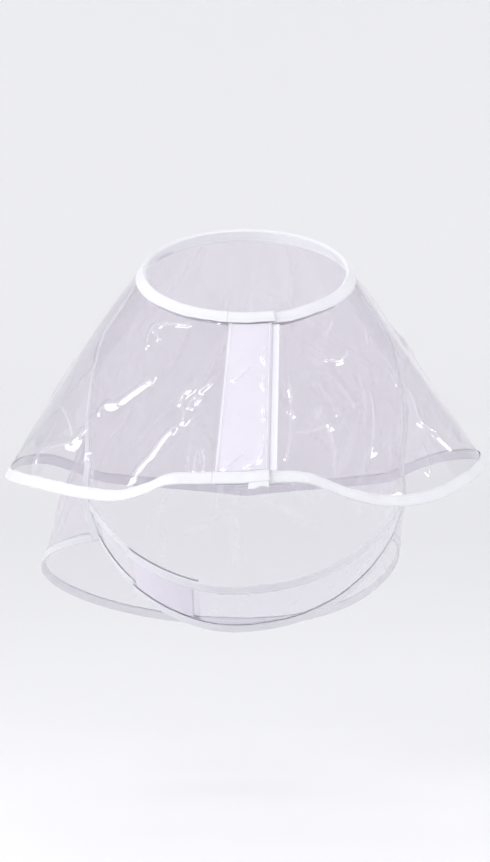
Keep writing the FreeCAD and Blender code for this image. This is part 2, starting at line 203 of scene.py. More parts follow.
def unit(vectors: Array) -> Array:
    """Return vectors scaled to length 1."""
    return vectors / np.maximum(np.linalg.norm(vectors, axis=-1, keepdims=True), 1e-12)


@dataclass(frozen=True)
class Curve:
    """A smooth curve through rows of (place, number) or (place, point)."""

    rows: tuple

    def at(self, where: Array | float) -> Array:
        """Find the curve's values.

        Args:
            where: the places to look at, in any shape.

        Returns:
            One value, or one point on the last axis, for each place.
        """
        places = np.array([row[0] for row in self.rows], float)
        values = np.array([row[1] for row in self.rows], float).reshape(len(places), -1)
        knots = np.arange(len(places))
        before, after = np.maximum(knots - 1, 0), np.minimum(knots + 1, len(places) - 1)
        slopes = (values[after] - values[before]) / (places[after] - places[before])[:, None]
        where = np.asarray(where, float)
        index = np.clip(np.searchsorted(places, where, side="right") - 1, 0, len(places) - 2)
        step = (places[index + 1] - places[index])[..., None]
        share = (where - places[index])[..., None] / step
        inside = np.clip(share, 0.0, 1.0)
        square, cube = inside ** 2, inside ** 3
        found = (
            (2 * cube - 3 * square + 1) * values[index]
            + (cube - 2 * square + inside) * step * slopes[index]
            + (3 * square - 2 * cube) * values[index + 1]
            + (cube - square) * step * slopes[index + 1]
        )
        end_slope = np.where(share > 1.0, slopes[index + 1], slopes[index])
        found = found + (share - inside) * step * end_slope
        return found[..., 0] if values.shape[1] == 1 else found


# ------------------------------------------------------------------ sheets' shapes
@dataclass(frozen=True)
class Surface:
    """A curved sheet given by two numbers, with a known outer side."""

    nudge: tuple[float, float] = (0.004, 0.004)
    side: float = 1.0

    def at(self, first: Array, second: Array) -> Array:
        """Return the points of the sheet's middle."""
        raise NotImplementedError

    def dip(self, first: Array, second: Array) -> Array | float:
        """Return how far the sheet stands off its own middle."""
        return 0.0

    def normal(self, first: Array, second: Array) -> Array:
        """Find the outward unit normals.

        Args:
            first: the first number of each point.
            second: the second number of each point.

        Returns:
            The normals, on the last axis.
        """
        one, two = self.nudge
        along = self.at(first + one, second) - self.at(first - one, second)
        across = self.at(first, second + two) - self.at(first, second - two)
        return unit(np.cross(across, along)) * self.side

    def lifted(self, first: Array, second: Array, lift: Array | float = 0.0) -> Array:
        """Find points raised off the sheet.

        Args:
            first: the first number of each point.
            second: the second number of each point.
            lift: how far each point stands off, outwards.

        Returns:
            The points, on the last axis.
        """
        first, second, lift = np.broadcast_arrays(
            np.asarray(first, float), np.asarray(second, float), np.asarray(lift, float)
        )
        raised = lift + self.dip(first, second)
        return self.at(first, second) + self.normal(first, second) * raised[..., None]


# How far apart two layers lie where one film closes over another, with their tapes between them.
STACK = 0.0036


@dataclass(frozen=True)
class CapeShape(Surface):
    """The cape: angle round the neck (0 chest, 90 at +X, 180 back), run 0 neck to 1 hem."""

    nudge: tuple[float, float] = (0.2, 0.004)
    neck_half_width: float = 0.092
    neck_half_depth: float = 0.098
    neck_tilt: float = 0.034
    half_width: float = 0.218
    centre_y: float = 0.033
    front_depth: float = 0.223
    back_depth: float = 0.234
    bulge_way: tuple[float, float] = (0.8, 0.6)
    hinge: tuple[float, float] = (-0.015, -0.0285)
    free: tuple[float, float] = (0.024, 0.020)
    loop_reach: float = 0.006
    dip_margin: float = 0.002
    dip_run_out: float = 0.030
    dips: bool = True
    hem: Curve = Curve((
        (-180, -0.232), (-141, -0.213), (-130, -0.199), (-119, -0.188), (-105, -0.185),
        (-90, -0.187), (-58, -0.186), (-37, -0.190), (-29, -0.189), (-23, -0.182),
        (-18, -0.174), (-10, -0.172), (0, -0.171), (6.5, -0.169), (13, -0.171), (20, -0.181),
        (25, -0.188), (32, -0.194), (42, -0.196), (51, -0.193), (58, -0.188), (66, -0.183),
        (76, -0.178), (90, -0.175), (105, -0.178), (120, -0.186), (131, -0.198),
        (141, -0.213), (180, -0.232),
    ))
    bulge: Curve = Curve((
        (-180, 0.008), (-135, 0.008), (-90, 0.006), (-50, 0.003), (-22, 0.0), (22, 0.0),
        (50, 0.002), (90, 0.002), (135, 0.006), (180, 0.008),
    ))

    def at(self, angle: Array, run: Array) -> Array:
        """Find the cape's middle.

        Args:
            angle: the angle round the neck, in degrees.
            run: the share of the way from the neck to the hem.

        Returns:
            The points, on the last axis.
        """
        angle, run = np.broadcast_arrays(np.asarray(angle, float), np.asarray(run, float))
        sine, cosine = np.sin(np.radians(angle)), np.cos(np.radians(angle))
        wrapped = (angle + 180.0) % 360.0 - 180.0
        depth = np.where(cosine > 0, self.front_depth, self.back_depth)
        neck = np.stack([
            self.neck_half_width * sine, -self.neck_half_depth * cosine,
            -self.neck_tilt * cosine,
        ], -1)
        hem = np.stack([
            self.half_width * sine, self.centre_y - depth * cosine, self.hem.at(wrapped)
        ], -1)
        belly = (self.bulge.at(wrapped) * 4.0 * run * (1.0 - run))[..., None]
        out, up = self.bulge_way
        way = np.stack([out * sine, -out * cosine, np.full_like(sine, up)], -1)
        return neck + (hem - neck) * run[..., None] + way * belly

    def angle_at(self, distance: Array | float, run: Array | float) -> Array:
        """Return the angle whose point lies this far to the side of the centre line."""
        width = blend(self.neck_half_width, self.half_width, np.asarray(run, float))
        return np.degrees(np.arcsin(np.clip(distance / width, -1.0, 1.0)))

    def hinge_x(self, run: Array | float) -> Array | float:
        """Return the side distance of the flap's sewn edge."""
        return blend(self.hinge[0], self.hinge[1], run)

    def free_x(self, run: Array | float) -> Array | float:
        """Return the side distance of the flap's free edge."""
        return blend(self.free[0], self.free[1], run)

    def dip(self, angle: Array, run: Array) -> Array | float:
        """Find how far the +X front panel dips to pass under the flap.

        Args:
            angle: the angle round the neck, in degrees.
            run: the share of the way from the neck to the hem.

        Returns:
            The dip, below 0 for inwards.
        """
        if not self.dips:
            return 0.0
        width = blend(self.neck_half_width, self.half_width, run)
        start = self.free_x(run) + self.loop_reach + self.dip_margin
        distance = np.sin(np.radians(angle)) * width
        sunk = -STACK * (1.0 - smooth_step((distance - start) / self.dip_run_out))
        return np.where(angle > 90.0, 0.0, sunk)


@dataclass(frozen=True)
class CoatShape(Surface):
    """The coat: across -1 to 1 from leg edge to leg edge, down 0 neck to 1 rear hem."""

    side: float = -1.0
    edge: Curve = Curve((
        (0.0, (0.090, -0.003, -0.001)), (0.11, (0.106, -0.008, -0.027)),
        (0.25, (0.128, -0.007, -0.062)), (0.45, (0.141, 0.009, -0.122)),
        (0.67, (0.143, 0.040, -0.181)), (0.82, (0.146, 0.071, -0.215)),
        (1.0, (0.137, 0.105, -0.256)),
    ))
    back: Curve = Curve((
        (0.0, (0.0, 0.096, 0.034)), (0.25, (0.0, 0.157, -0.070)), (0.5, (0.0, 0.223, -0.174)),
        (0.75, (0.0, 0.295, -0.276)), (1.0, (0.0, 0.369, -0.378)),
    ))
    left_side: Curve = Curve((
        (0.0, (0.0, 0.054, 0.0188)), (0.25, (0.008, 0.075, 0.012)), (0.5, (0.015, 0.095, 0.005)),
        (0.75, (0.014, 0.092, -0.012)), (1.0, (0.028, 0.088, -0.025)),
    ))
    right_side: Curve = Curve((
        (0.0, (0.0, 0.054, 0.0188)), (0.25, (0.008, 0.075, 0.012)), (0.5, (0.025, 0.095, 0.005)),
        (0.75, (0.075, 0.095, -0.015)), (1.0, (0.138, 0.085, -0.030)),
    ))
    left_flat: Curve = Curve(
        ((0.0, 0.049), (0.25, 0.075), (0.5, 0.092), (0.75, 0.115), (1.0, 0.135))
    )
    right_flat: Curve = Curve(
        ((0.0, 0.049), (0.25, 0.075), (0.5, 0.097), (0.75, 0.128), (1.0, 0.160))
    )
    seam_reach: float = 0.11
    seam_inset: float = 0.00077

    def at(self, across: Array, down: Array) -> Array:
        """Find the coat's middle.

        Args:
            across: the place from leg edge to leg edge, -1 to 1.
            down: the share of the way from the neck to the rear hem.

        Returns:
            The points, on the last axis.
        """
        across, down = np.broadcast_arrays(np.asarray(across, float), np.asarray(down, float))
        edge, back = self.edge.at(down), self.back.at(down)
        inset = self.seam_inset * np.clip(1.0 - down / self.seam_reach, 0.0, None)
        edge = edge - inset[..., None] * np.array([1.0, 0.0, 0.0])
        left = across >= 0
        leave = edge + np.where(left[..., None], self.left_side.at(down), self.right_side.at(down))
        flat = np.where(left, self.left_flat.at(down), self.right_flat.at(down))
        arrive = back + flat[..., None] * np.array([1.0, 0.0, 0.0])
        share = (1.0 - np.abs(across))[..., None]
        rest = 1.0 - share
        point = (
            edge * rest ** 3 + leave * (3 * rest ** 2 * share)
            + arrive * (3 * rest * share ** 2) + back * share ** 3
        )
        mirrored = np.where(left, 1.0, -1.0)
        return point * np.stack([mirrored, np.ones_like(down), np.ones_like(down)], -1)


@dataclass(frozen=True)
class BandShape(Surface):
    """The belly band: turn -1 to 1 from leg edge to leg edge, width 0 front to 1 rear."""

    coat: CoatShape = CoatShape()
    front_edge: float = 0.82
    front_bottom: tuple[float, float, float] = (0.0, 0.029, -0.289)
    rear_bottom: tuple[float, float, float] = (0.0, 0.075, -0.337)
    dip_start: float = -0.2
    dip_end: float = 0.15
    outer: bool = False

    def at(self, turn: Array, width: Array) -> Array:
        """Find the band's middle.

        Args:
            turn: the place from leg edge to leg edge, -1 to 1.
            width: the share of the way from the front edge to the rear edge.

        Returns:
            The points, on the last axis.
        """
        turn, width = np.broadcast_arrays(np.asarray(turn, float), np.asarray(width, float))
        end = self.coat.edge.at(blend(self.front_edge, 1.0, width))
        front, rear = np.array(self.front_bottom), np.array(self.rear_bottom)
        bottom = front + (rear - front) * width[..., None]
        drop = bottom - end
        drop[..., 0] = 0.0
        depth = np.linalg.norm(drop, axis=-1)
        radius = (end[..., 0] ** 2 + depth ** 2) / (2.0 * depth)
        sweep = np.arcsin(end[..., 0] / radius) * turn
        down = drop / depth[..., None]
        centre = bottom - down * radius[..., None]
        found = centre + down * (radius * np.cos(sweep))[..., None]
        found[..., 0] += radius * np.sin(sweep)
        return found

    def dip(self, turn: Array, width: Array) -> Array | float:
        """Find how far the long half stands off to pass outside the short half.

        Args:
            turn: the place from leg edge to leg edge.
            width: the share of the way from the front edge to the rear edge.

        Returns:
            The distance outwards.
        """
        if not self.outer:
            return 0.0
        share = (turn - self.dip_start) / (self.dip_end - self.dip_start)
        return STACK * (1.0 - smooth_step(share))


# ------------------------------------------------------------------ creases
@dataclass(frozen=True)
class Crease:
    """One fold line in the film, along places on its sheet.

    The height is outwards, the reach is the half width, and the crest is how round the top is,
    as a share of the reach.
    """

    path: tuple
    reach: float
    height: float
    crest: float = 0.10
    fade: float = 0.18


@dataclass(frozen=True)
class CreaseField:
    """The folds of one film panel, with slow waves between them."""

    surface: Surface
    creases: tuple
    wave_height: float = 0.0008
    wave_length: float = 0.085
    waves: int = 7
    crest_width: float = 0.0012
    seed: int = 3

    def line_of(self, crease: Crease) -> Array:
        """Lay a crease's line on the sheet.

        Args:
            crease: the crease.

        Returns:
            Close, evenly spaced points along it.
        """
        rows = tuple((float(i), place) for i, place in enumerate(crease.path))
        rough = Curve(rows).at(np.linspace(0.0, len(rows) - 1.0, 240))
        points = self.surface.lifted(rough[:, 0], rough[:, 1])
        walked = np.concatenate([[0.0], np.cumsum(np.linalg.norm(np.diff(points, axis=0), axis=1))])
        count = max(int(walked[-1] / 0.0008), 8)
        even = np.linspace(0.0, walked[-1], count)
        return np.stack([np.interp(even, walked, points[:, k]) for k in range(3)], -1)

    def relief(self, points: Array) -> tuple[Array, Array]:
        """Find how far the film stands off at each point.

        Args:
            points: places on the smooth sheet, in rows of three.

        Returns:
            The height at each point, and how near a crest it is, from 0 to 1.
        """
        height, near_crest = np.zeros(len(points)), np.zeros(len(points))
        for crease in self.creases:
            line = self.line_of(crease)
            low, high = line.min(0) - crease.reach, line.max(0) + crease.reach
            close = np.flatnonzero(((points > low) & (points < high)).all(1))
            if not len(close):
                continue
            gaps = np.linalg.norm(points[close][:, None, :] - line[None], axis=2)
            nearest = gaps.argmin(1)
            share = nearest / (len(line) - 1.0)
            taper = smooth_step(np.minimum(share, 1.0 - share) / crease.fade)
            reach = crease.reach * (0.35 + 0.65 * taper)
            away = gaps[np.arange(len(close)), nearest] / reach
            rounded = np.sqrt(away ** 2 + crease.crest ** 2) - crease.crest
            height[close] += crease.height * taper * np.clip(1.0 - rounded, 0.0, 1.0) ** 2
            crest_width = max(crease.crest * crease.reach, self.crest_width)
            crest = taper * np.exp(-(away * crease.reach / crest_width) ** 2)
            near_crest[close] = np.maximum(near_crest[close], crest)
        random = np.random.default_rng(self.seed)
        for _ in range(self.waves):
            way = unit(random.normal(size=3) * np.array([1.0, 1.0, 0.7]))
            length = self.wave_length * random.uniform(0.6, 1.5)
            phase = points @ way * (2 * math.pi / length) + random.uniform(0, 2 * math.pi)
            height += self.wave_height / math.sqrt(self.waves) * np.sin(phase)
        return height, near_crest


def scattered(seed: int, count: int, firsts: tuple[float, float], seconds: tuple[float, float],
              lengths: tuple[float, float], lean: float, reach: tuple[float, float],
              height: tuple[float, float], crest: float = 0.10) -> tuple[Crease, ...]:
    """Make short, slightly bent creases over a part of a sheet.

    Args:
        seed: the start of the random numbers.
        count: how many creases.
        firsts: the range of the sheet's first number.
        seconds: the range of the sheet's second number.
        lengths: the range of their lengths, in the sheet's second number.
        lean: how far they lean, in the first number for each unit of the second.
        reach: the range of their half widths.
        height: the range of their heights.
        crest: how round their tops are, as a share of the reach.

    Returns:
        The creases.
    """
    random = np.random.default_rng(seed)
    made = []
    for _ in range(count):
        first, second = random.uniform(*firsts), random.uniform(*seconds)
        length = random.uniform(*lengths)
        tilt = lean * random.normal()
        bow = 0.15 * lean * length * random.normal()
        path = tuple(
            (first + tilt * length * (t - 0.5) + bow * math.sin(math.pi * t),
             min(max(second + length * (t - 0.5), 0.02), 0.98))
            for t in (0.0, 0.33, 0.67, 1.0)
        )
        sign = 1.0 if random.uniform() < 0.65 else -1.0
        made.append(Crease(path, random.uniform(*reach), sign * random.uniform(*height), crest))
    return tuple(made)


# ------------------------------------------------------------------ meshes
def grid_faces(rows: int, columns: int, closed_rows: bool = False) -> Array:
    """Join a grid of points laid out row by row.

    Args:
        rows: how many rows.
        columns: how many points in a row.
        closed_rows: whether the last row joins the first.

    Returns:
        The quads, as rows of four point numbers.
    """
    row = np.arange(rows if closed_rows else rows - 1)
    column = np.arange(columns - 1)
    r, c = np.meshgrid(row, column, indexing="ij")
    below = (r + 1) % rows
    here, under = r * columns + c, below * columns + c
    return np.stack([here, here + 1, under + 1, under], -1).reshape(-1, 4)


def mesh_object(name: str, points: Array, faces: Array, lie: Array,
                crest: Array | None = None) -> bpy.types.Object:
    """Make a smooth-shaded mesh object.

    Args:
        name: the piece's name.
        points: its points, in rows of three.
        faces: its quads, as rows of four point numbers.
        lie: each point's place along and across the material, in metres.
        crest: how near a fold's crest each point is, for film.

    Returns:
        The new object, linked to the scene.
    """
    mesh = bpy.data.meshes.new(name)
    mesh.vertices.add(len(points))
    mesh.vertices.foreach_set("co", np.ascontiguousarray(points, np.float32).ravel())
    mesh.loops.add(len(faces) * 4)
    mesh.loops.foreach_set("vertex_index", np.ascontiguousarray(faces, np.int32).ravel())
    mesh.polygons.add(len(faces))
    mesh.polygons.foreach_set("loop_start", np.arange(0, len(faces) * 4, 4, dtype=np.int32))
    mesh.update(calc_edges=True)
    mesh.polygons.foreach_set("use_smooth", np.ones(len(faces), bool))
    flat = np.concatenate([lie, np.zeros((len(lie), 1))], 1) if lie.shape[1] == 2 else lie
    held = mesh.attributes.new("lie", "FLOAT_VECTOR", "POINT")
    held.data.foreach_set("vector", np.ascontiguousarray(flat, np.float32).ravel())
    if crest is not None:
        marked = mesh.attributes.new("crest", "FLOAT", "POINT")
        marked.data.foreach_set("value", np.ascontiguousarray(crest, np.float32))
    mesh.validate()
    made = bpy.data.objects.new(name, mesh)
    bpy.context.scene.collection.objects.link(made)
    return made


def slab_faces(rows: int, columns: int) -> Array:
    """Join a closed slab whose two faces are grids of points, one after the other.

    Args:
        rows: how many rows each face has.
        columns: how many points in a row.

    Returns:
        The quads, as rows of four point numbers.
    """
    top = grid_faces(rows, columns)
    lower = rows * columns
    bottom = top[:, ::-1] + lower
    sides = []
    for line, turned in (
        (np.arange(columns), False), (np.arange(columns) + (rows - 1) * columns, True),
        (np.arange(rows) * columns, True), (np.arange(rows) * columns + columns - 1, False),
    ):
        quad = np.stack([line[:-1], line[1:], line[1:] + lower, line[:-1] + lower], -1)
        sides.append(quad if turned else quad[:, ::-1])
    return np.concatenate([top, bottom, *sides])


@dataclass(frozen=True)
class Rail:
    """One edge of a sheet: stations along it, insets from it and lifts off it."""

    surface: Surface
    edge: float
    inward: float
    along_first: bool = True

    def at(self, stations: Array, inset: Array | float, lift: Array | float) -> Array:
        """Find points beside the edge.

        Args:
            stations: the places along the edge.
            inset: how far in from the edge.
            lift: how far off the sheet, outwards.

        Returns:
            The points, on the last axis.
        """
        step = 0.01
        inner = self.edge - self.inward * step
        if self.along_first:
            here, there = self.surface.at(stations, self.edge), self.surface.at(stations, inner)
        else:
            here, there = self.surface.at(self.edge, stations), self.surface.at(inner, stations)
        slope = np.linalg.norm(here - there, axis=-1) / step
        place = self.edge + self.inward * inset / slope
        if self.along_first:
            return self.surface.lifted(stations, place, lift)
        return self.surface.lifted(place, stations, lift)

    def even(self, start: float, end: float, spacing: float) -> tuple[Array, Array]:
        """Find stations a set distance apart.

        Args:
            start: the first station.
            end: the last station.
            spacing: the distance between stations, in metres.

        Returns:
            The stations and their distances from the first.
        """
        rough = np.linspace(start, end, 600)
        steps = np.linalg.norm(np.diff(self.at(rough, 0.0, 0.0), axis=0), axis=1)
        walked = np.concatenate([[0.0], np.cumsum(steps)])
        distances = np.linspace(0.0, walked[-1], max(int(walked[-1] / spacing), 6) + 1)
        return np.interp(distances, walked, rough), distances


@dataclass(frozen=True)
class Line:
    """An upright line on the placket, with the same calls as an edge."""

    surface: CapeShape
    top: float
    bottom: float

    def at(self, runs: Array, inset: Array | float, lift: Array | float) -> Array:
        """Find points beside the line.

        Args:
            runs: the shares of the way from the neck to the hem.
            inset: how far to the +X side of the line.
            lift: how far off the sheet, outwards.

        Returns:
            The points, on the last axis.
        """
        distance = blend(self.top, self.bottom, runs) + inset
        return self.surface.lifted(self.surface.angle_at(distance, runs), runs, lift)

    def even(self, start: float, end: float, spacing: float) -> tuple[Array, Array]:
        """Find runs a set distance apart.

        Args:
            start: the first run.
            end: the last run.
            spacing: the distance between them, in metres.

        Returns:
            The runs and their distances from the first.
        """
        first, last = self.at(np.array(start), 0.0, 0.0), self.at(np.array(end), 0.0, 0.0)
        length = float(np.linalg.norm(last - first))
        distances = np.linspace(0.0, length, max(int(length / spacing), 6) + 1)
        return blend(start, end, distances / length), distances


# ------------------------------------------------------------------ tapes and threads
@dataclass(frozen=True)
class FoldedTape:
    """Woven tape folded over a film's edge and pressed flat by its row of stitches."""

    width: float = 0.0095
    thickness: float = 0.0005
    film_gap: float = 0.00045
    crown: float = 0.00016
    selvage: float = 0.00012
    groove: float = 0.00018
    groove_inset: float = 0.0072
    groove_width: float = 0.0007
    pucker: float = 0.00010
    pucker_pitch: float = 0.0031
    waver: float = 0.00022
    waver_pitch: float = 0.043
    spacing: float = 0.0016
    inner_room: tuple[float, float] = (0.0, 0.0)

    def section(self) -> tuple[Array, Array, Array]:
        """Lay out the folded section.

        Returns:
            Each point's share of the leg's width (below 0 round the fold), the side it is on
            from 1 to -1, and its turn round the fold in radians.
        """
        leg = np.array([1.0, 0.985, 0.95, 0.90, 0.83, 0.79, 0.757, 0.72, 0.66, 0.55, 0.42, 0.28, 0.14, 0.04])
        turns = np.linspace(0.0, math.pi, 9)
        insets = np.concatenate([leg, np.zeros(len(turns)), leg[::-1]])
        angle = np.concatenate([np.zeros(len(leg)), turns, np.full(len(leg), math.pi)])
        return insets, np.cos(angle), angle

    def build(self, name: str, rail: Rail | Line, start: float, end: float) -> bpy.types.Object:
        """Fold the tape along an edge.

        Args:
            name: the piece's name.
            rail: the edge that it is folded over.
            start: the first station.
            end: the last station.

        Returns:
            The tape's mesh object.
        """
        stations, walked = rail.even(start, end, self.spacing)
        insets, side, angle = self.section()
        wobble = self.waver * (np.sin(walked * 2 * math.pi / self.waver_pitch)
                               + 0.6 * np.sin(walked * 2 * math.pi / (self.waver_pitch * 0.37) + 1.0))
        pressed = 0.55 + 0.45 * np.cos(walked * 2 * math.pi / self.pucker_pitch)
        outer, inner, lie = [], [], []
        across = 0.0
        for inset, lean, turn in zip(insets, side, angle):
            distance = inset * self.width
            fold, lip = self.inner_room
            room = blend(fold, lip, inset) if lean < 0 else 0.0
            raised = self.crown * math.sin(math.pi * min(inset, 1.0)) + self.selvage * (inset > 0.94)
            pull = self.groove * math.exp(-((distance - self.groove_inset) / self.groove_width) ** 2)
            ripple = self.pucker * smooth_step(inset * 1.6 - 0.4) * pressed
            reach = self.film_gap + self.thickness
            turned = 0.0 < turn < math.pi
            lift = (reach + raised - pull * pressed + ripple) * np.sign(lean) if not turned else reach * lean
            under = self.film_gap * (np.sign(lean) if not turned else lean)
            tuck = 1.0 + 0.03 * inset
            out_inset = distance * tuck + wobble * inset - (reach * math.sin(turn) if turned else 0.0)
            in_inset = distance * tuck + wobble * inset - (self.film_gap * math.sin(turn) if turned else 0.0)
            shift = -room if lean < 0 else 0.0
            outer.append(rail.at(stations, out_inset, lift + shift))
            inner.append(rail.at(stations, in_inset, np.full_like(walked, under) + shift))
            lie.append(np.stack([walked, np.full_like(walked, across)], -1))
            across += self.width / 14.0 if not turned else reach * math.pi / 8.0
        count, columns = len(outer), len(stations)
        points = np.concatenate([np.array(outer).reshape(-1, 3), np.array(inner).reshape(-1, 3)])
        places = np.concatenate([np.array(lie).reshape(-1, 2)] * 2)
        return mesh_object(name, points, slab_faces(count, columns), places)


@dataclass(frozen=True)
class StitchRow:
    """A lockstitch seam: one thread that rises and sinks once a stitch, on one or both faces."""

    inset: float = 0.0072
    pitch: float = 0.0031
    radius: float = 0.00024
    rise: float = 0.00022
    sink: float = 0.00050
    covered: float = 0.80
    sides: int = 6
    steps: int = 8

    def build(self, name: str, rail: Rail | Line, start: float, end: float,
              faces: tuple[float, ...]) -> bpy.types.Object:
        """Sew the row.

        Args:
            name: the piece's name.
            rail: the edge or line that it follows.
            start: the first station.
            end: the last station.
            faces: the lift of each face that shows the thread, signed outwards.

        Returns:
            The thread's mesh object.
        """
        stations, walked = rail.even(start, end, self.pitch / self.steps)
        phase = (walked / self.pitch) % 1.0
        shown = np.sin(math.pi * np.clip(phase / self.covered, 0.0, 1.0)) ** 0.5
        height = np.where(phase < self.covered, self.rise * shown, -self.sink * np.sin(
            math.pi * (phase - self.covered) / (1.0 - self.covered)))
        turns = np.linspace(0.0, 2 * math.pi, self.sides, endpoint=False)
        points, quads, lie = [], [], []
        for face in faces:
            ring = np.stack([
                rail.at(stations, self.inset + self.radius * math.cos(turn),
                        face + np.sign(face) * (height + self.radius * math.sin(turn)))
                for turn in turns
            ])
            quads.append(grid_faces(self.sides, len(stations), closed_rows=True) + sum(map(len, points)))
            points.append(ring.reshape(-1, 3))
            across = np.repeat(turns[:, None] * self.radius, len(stations), 1)
            lie.append(np.stack([np.repeat(walked[None], self.sides, 0), across], -1).reshape(-1, 2))
        return mesh_object(name, np.concatenate(points), np.concatenate(quads), np.concatenate(lie))


# How far a folded tape's two faces stand from the film's middle.
TAPE_FACE = 0.00088
TAPE_FACES = (TAPE_FACE, -TAPE_FACE)


class PileKind(Enum):
    """What stands up from a fastening tape."""

    HOOKS = "hooks"
    LOOPS = "loops"


@dataclass(frozen=True)
class FasteningTape:
    """A flat woven tape with a field of tiny hooks or loops on one face."""

    kind: PileKind
    base: float = 0.0006
    pitch: float = 0.0021
    pile: float = 0.00055
    strand: float = 0.00016
    seed: int = 5
    border: float = 0.0022
    spacing: float = 0.0016
    rounded_edge: float = 0.0009
    jitter: float = 0.00012

    def build(self, name: str, place: Place, length: float, width: float,
              face: float) -> bpy.types.Object:
        """Weave the tape.

        Args:
            name: the piece's name.
            place: a function of (across 0 to 1, along 0 to 1, lift) that gives points.
            length: the tape's length.
            width: the tape's width.
            face: the lift of the face that is sewn to the film; the pile stands the other way.

        Returns:
            The tape's mesh object.
        """
        columns = max(int(length / self.spacing), 8)
        rows = max(int(width / self.spacing), 6)
        across, along = np.meshgrid(np.linspace(0, 1, rows), np.linspace(0, 1, columns), indexing="ij")
        away = float(np.sign(face))
        edge = np.minimum(np.minimum(across, 1 - across) * width, np.minimum(along, 1 - along) * length)
        thick = self.base * (0.55 + 0.45 * smooth_step(edge / self.rounded_edge))
        top = place(across, along, face + away * thick)
        bottom = place(across, along, np.full_like(across, face))
        lie = np.stack([along * length, across * width], -1).reshape(-1, 2)
        if away < 0:
            top, bottom = bottom, top
        points = [top.reshape(-1, 3), bottom.reshape(-1, 3)]
        faces = [slab_faces(rows, columns)]
        places = [lie, lie]
        pile, pile_faces, pile_lie = self.pile_mesh(place, length, width, face + away * self.base * 0.9, away)
        faces.append(pile_faces + 2 * rows * columns)
        return mesh_object(
            name, np.concatenate(points + [pile]), np.concatenate(faces), np.concatenate(places + [pile_lie])
        )

    def pile_mesh(self, place: Place, length: float, width: float, foot: float,
                  away: float) -> tuple[Array, Array, Array]:
        """Stand the hooks or loops on the tape.

        Args:
            place: a function of (across, along, lift) that gives points.
            length: the tape's length.
            width: the tape's width.
            foot: the lift of the face that they stand on.
            away: 1 or -1, the way they stand.

        Returns:
            Their points, quads and places on the material.
        """
        random = np.random.default_rng(self.seed)
        count_along = int((length - 2 * self.border) / self.pitch)
        count_across = int((width - 2 * self.border) / self.pitch)
        a, b = np.meshgrid(np.arange(count_along), np.arange(count_across), indexing="ij")
        along = (self.border + (a + 0.5 * (b % 2)) * self.pitch).ravel()
        along = along + random.normal(0, self.jitter, a.size)
        across = (self.border + b * self.pitch).ravel() + random.normal(0, self.jitter, a.size)
        if self.kind is PileKind.HOOKS:
            spine = np.array([(0.0, 0.0), (0.05, 0.55), (0.30, 0.95), (0.75, 0.90), (0.95, 0.55)])
            heading = np.where(b.ravel() % 2 == 0, 0.0, math.pi) + random.normal(0, 0.15, a.size)
        else:
            spine = np.array([(-0.9, 0.0), (-0.85, 0.55), (-0.2, 0.95), (0.55, 0.75), (0.95, 0.0)])
            heading = random.uniform(0, 2 * math.pi, a.size)
        size = self.pile * random.uniform(0.85, 1.1, a.size)
        ways = np.array([(0.0, 1.0), (1.0, 0.0), (0.0, -1.0), (-1.0, 0.0)]) * self.strand / 2
        rings = []
        for reach, rise in spine:
            for sideways, upward in ways:
                dx = reach * size * np.cos(heading) - sideways * np.sin(heading)
                dy = reach * size * np.sin(heading) + sideways * np.cos(heading)
                lift = foot + away * (rise * size + upward)
                rings.append(place((across + dy) / width, (along + dx) / length, lift))
        points = np.array(rings).transpose(1, 0, 2)
        steps = len(spine)
        quads = []
        for step in range(steps - 1):
            for corner in range(4):
                one, two = step * 4 + corner, step * 4 + (corner + 1) % 4
                quads.append((one, two, two + 4, one + 4))
        quads.append((3, 2, 1, 0))
        quads.append(tuple(steps * 4 - 4 + k for k in range(4)))
        quads = np.array(quads)[None] + (np.arange(len(points)) * steps * 4)[:, None, None]
        lie = np.repeat(np.stack([along, across], -1), steps * 4, 0)
        return points.reshape(-1, 3), quads.reshape(-1, 4), lie


# ------------------------------------------------------------------ node helpers
class Nodes:
    """A short way to add nodes to one tree and join them."""

    def __init__(self, tree: bpy.types.NodeTree) -> None:
        """Keep the tree."""
        self.tree = tree

    def add(self, kind: str, values: dict | None = None, **settings: object) -> bpy.types.Node:
        """Add a node.

        Args:
            kind: the node's type name.
            values: numbers, colours or sockets for its inputs, by name or number.
            settings: the node's own settings.

        Returns:
            The node.
        """
        node = self.tree.nodes.new(kind)
        for key, value in settings.items():
            setattr(node, key, value)
        for key, value in (values or {}).items():
            if isinstance(value, bpy.types.NodeSocket):
                self.tree.links.new(value, node.inputs[key])
            else:
                node.inputs[key].default_value = value
        return node

    def maths(self, operation: str, *inputs: float | bpy.types.NodeSocket) -> bpy.types.NodeSocket:
        """Return the result of a Math node on numbers or sockets."""
        return self.add("ShaderNodeMath", dict(enumerate(inputs)), operation=operation).outputs[0]

    def mixed(self, share: bpy.types.NodeSocket, low: tuple, high: tuple) -> bpy.types.NodeSocket:
        """Return a colour a share of the way from low to high."""
        node = self.add("ShaderNodeMix", {0: share, 6: low, 7: high}, data_type="RGBA")
        return node.outputs[2]


def new_group(name: str, inputs: tuple, outputs: tuple) -> tuple[
        bpy.types.NodeTree, Nodes, bpy.types.Node, bpy.types.Node]:
    """Start a shader node group.

    Args:
        name: the group's name.
        inputs: (name, socket type, first value) of each input.
        outputs: (name, socket type) of each output.

    Returns:
        The group, its node helper, and its input and output nodes.
    """
    tree = bpy.data.node_groups.new(name, "ShaderNodeTree")
    for label, kind, value in inputs:
        socket = tree.interface.new_socket(name=label, in_out="INPUT", socket_type=kind)
        if value is not None:
            socket.default_value = value
    for label, kind in outputs:
        tree.interface.new_socket(name=label, in_out="OUTPUT", socket_type=kind)
    nodes = Nodes(tree)
    return tree, nodes, nodes.add("NodeGroupInput"), nodes.add("NodeGroupOutput")


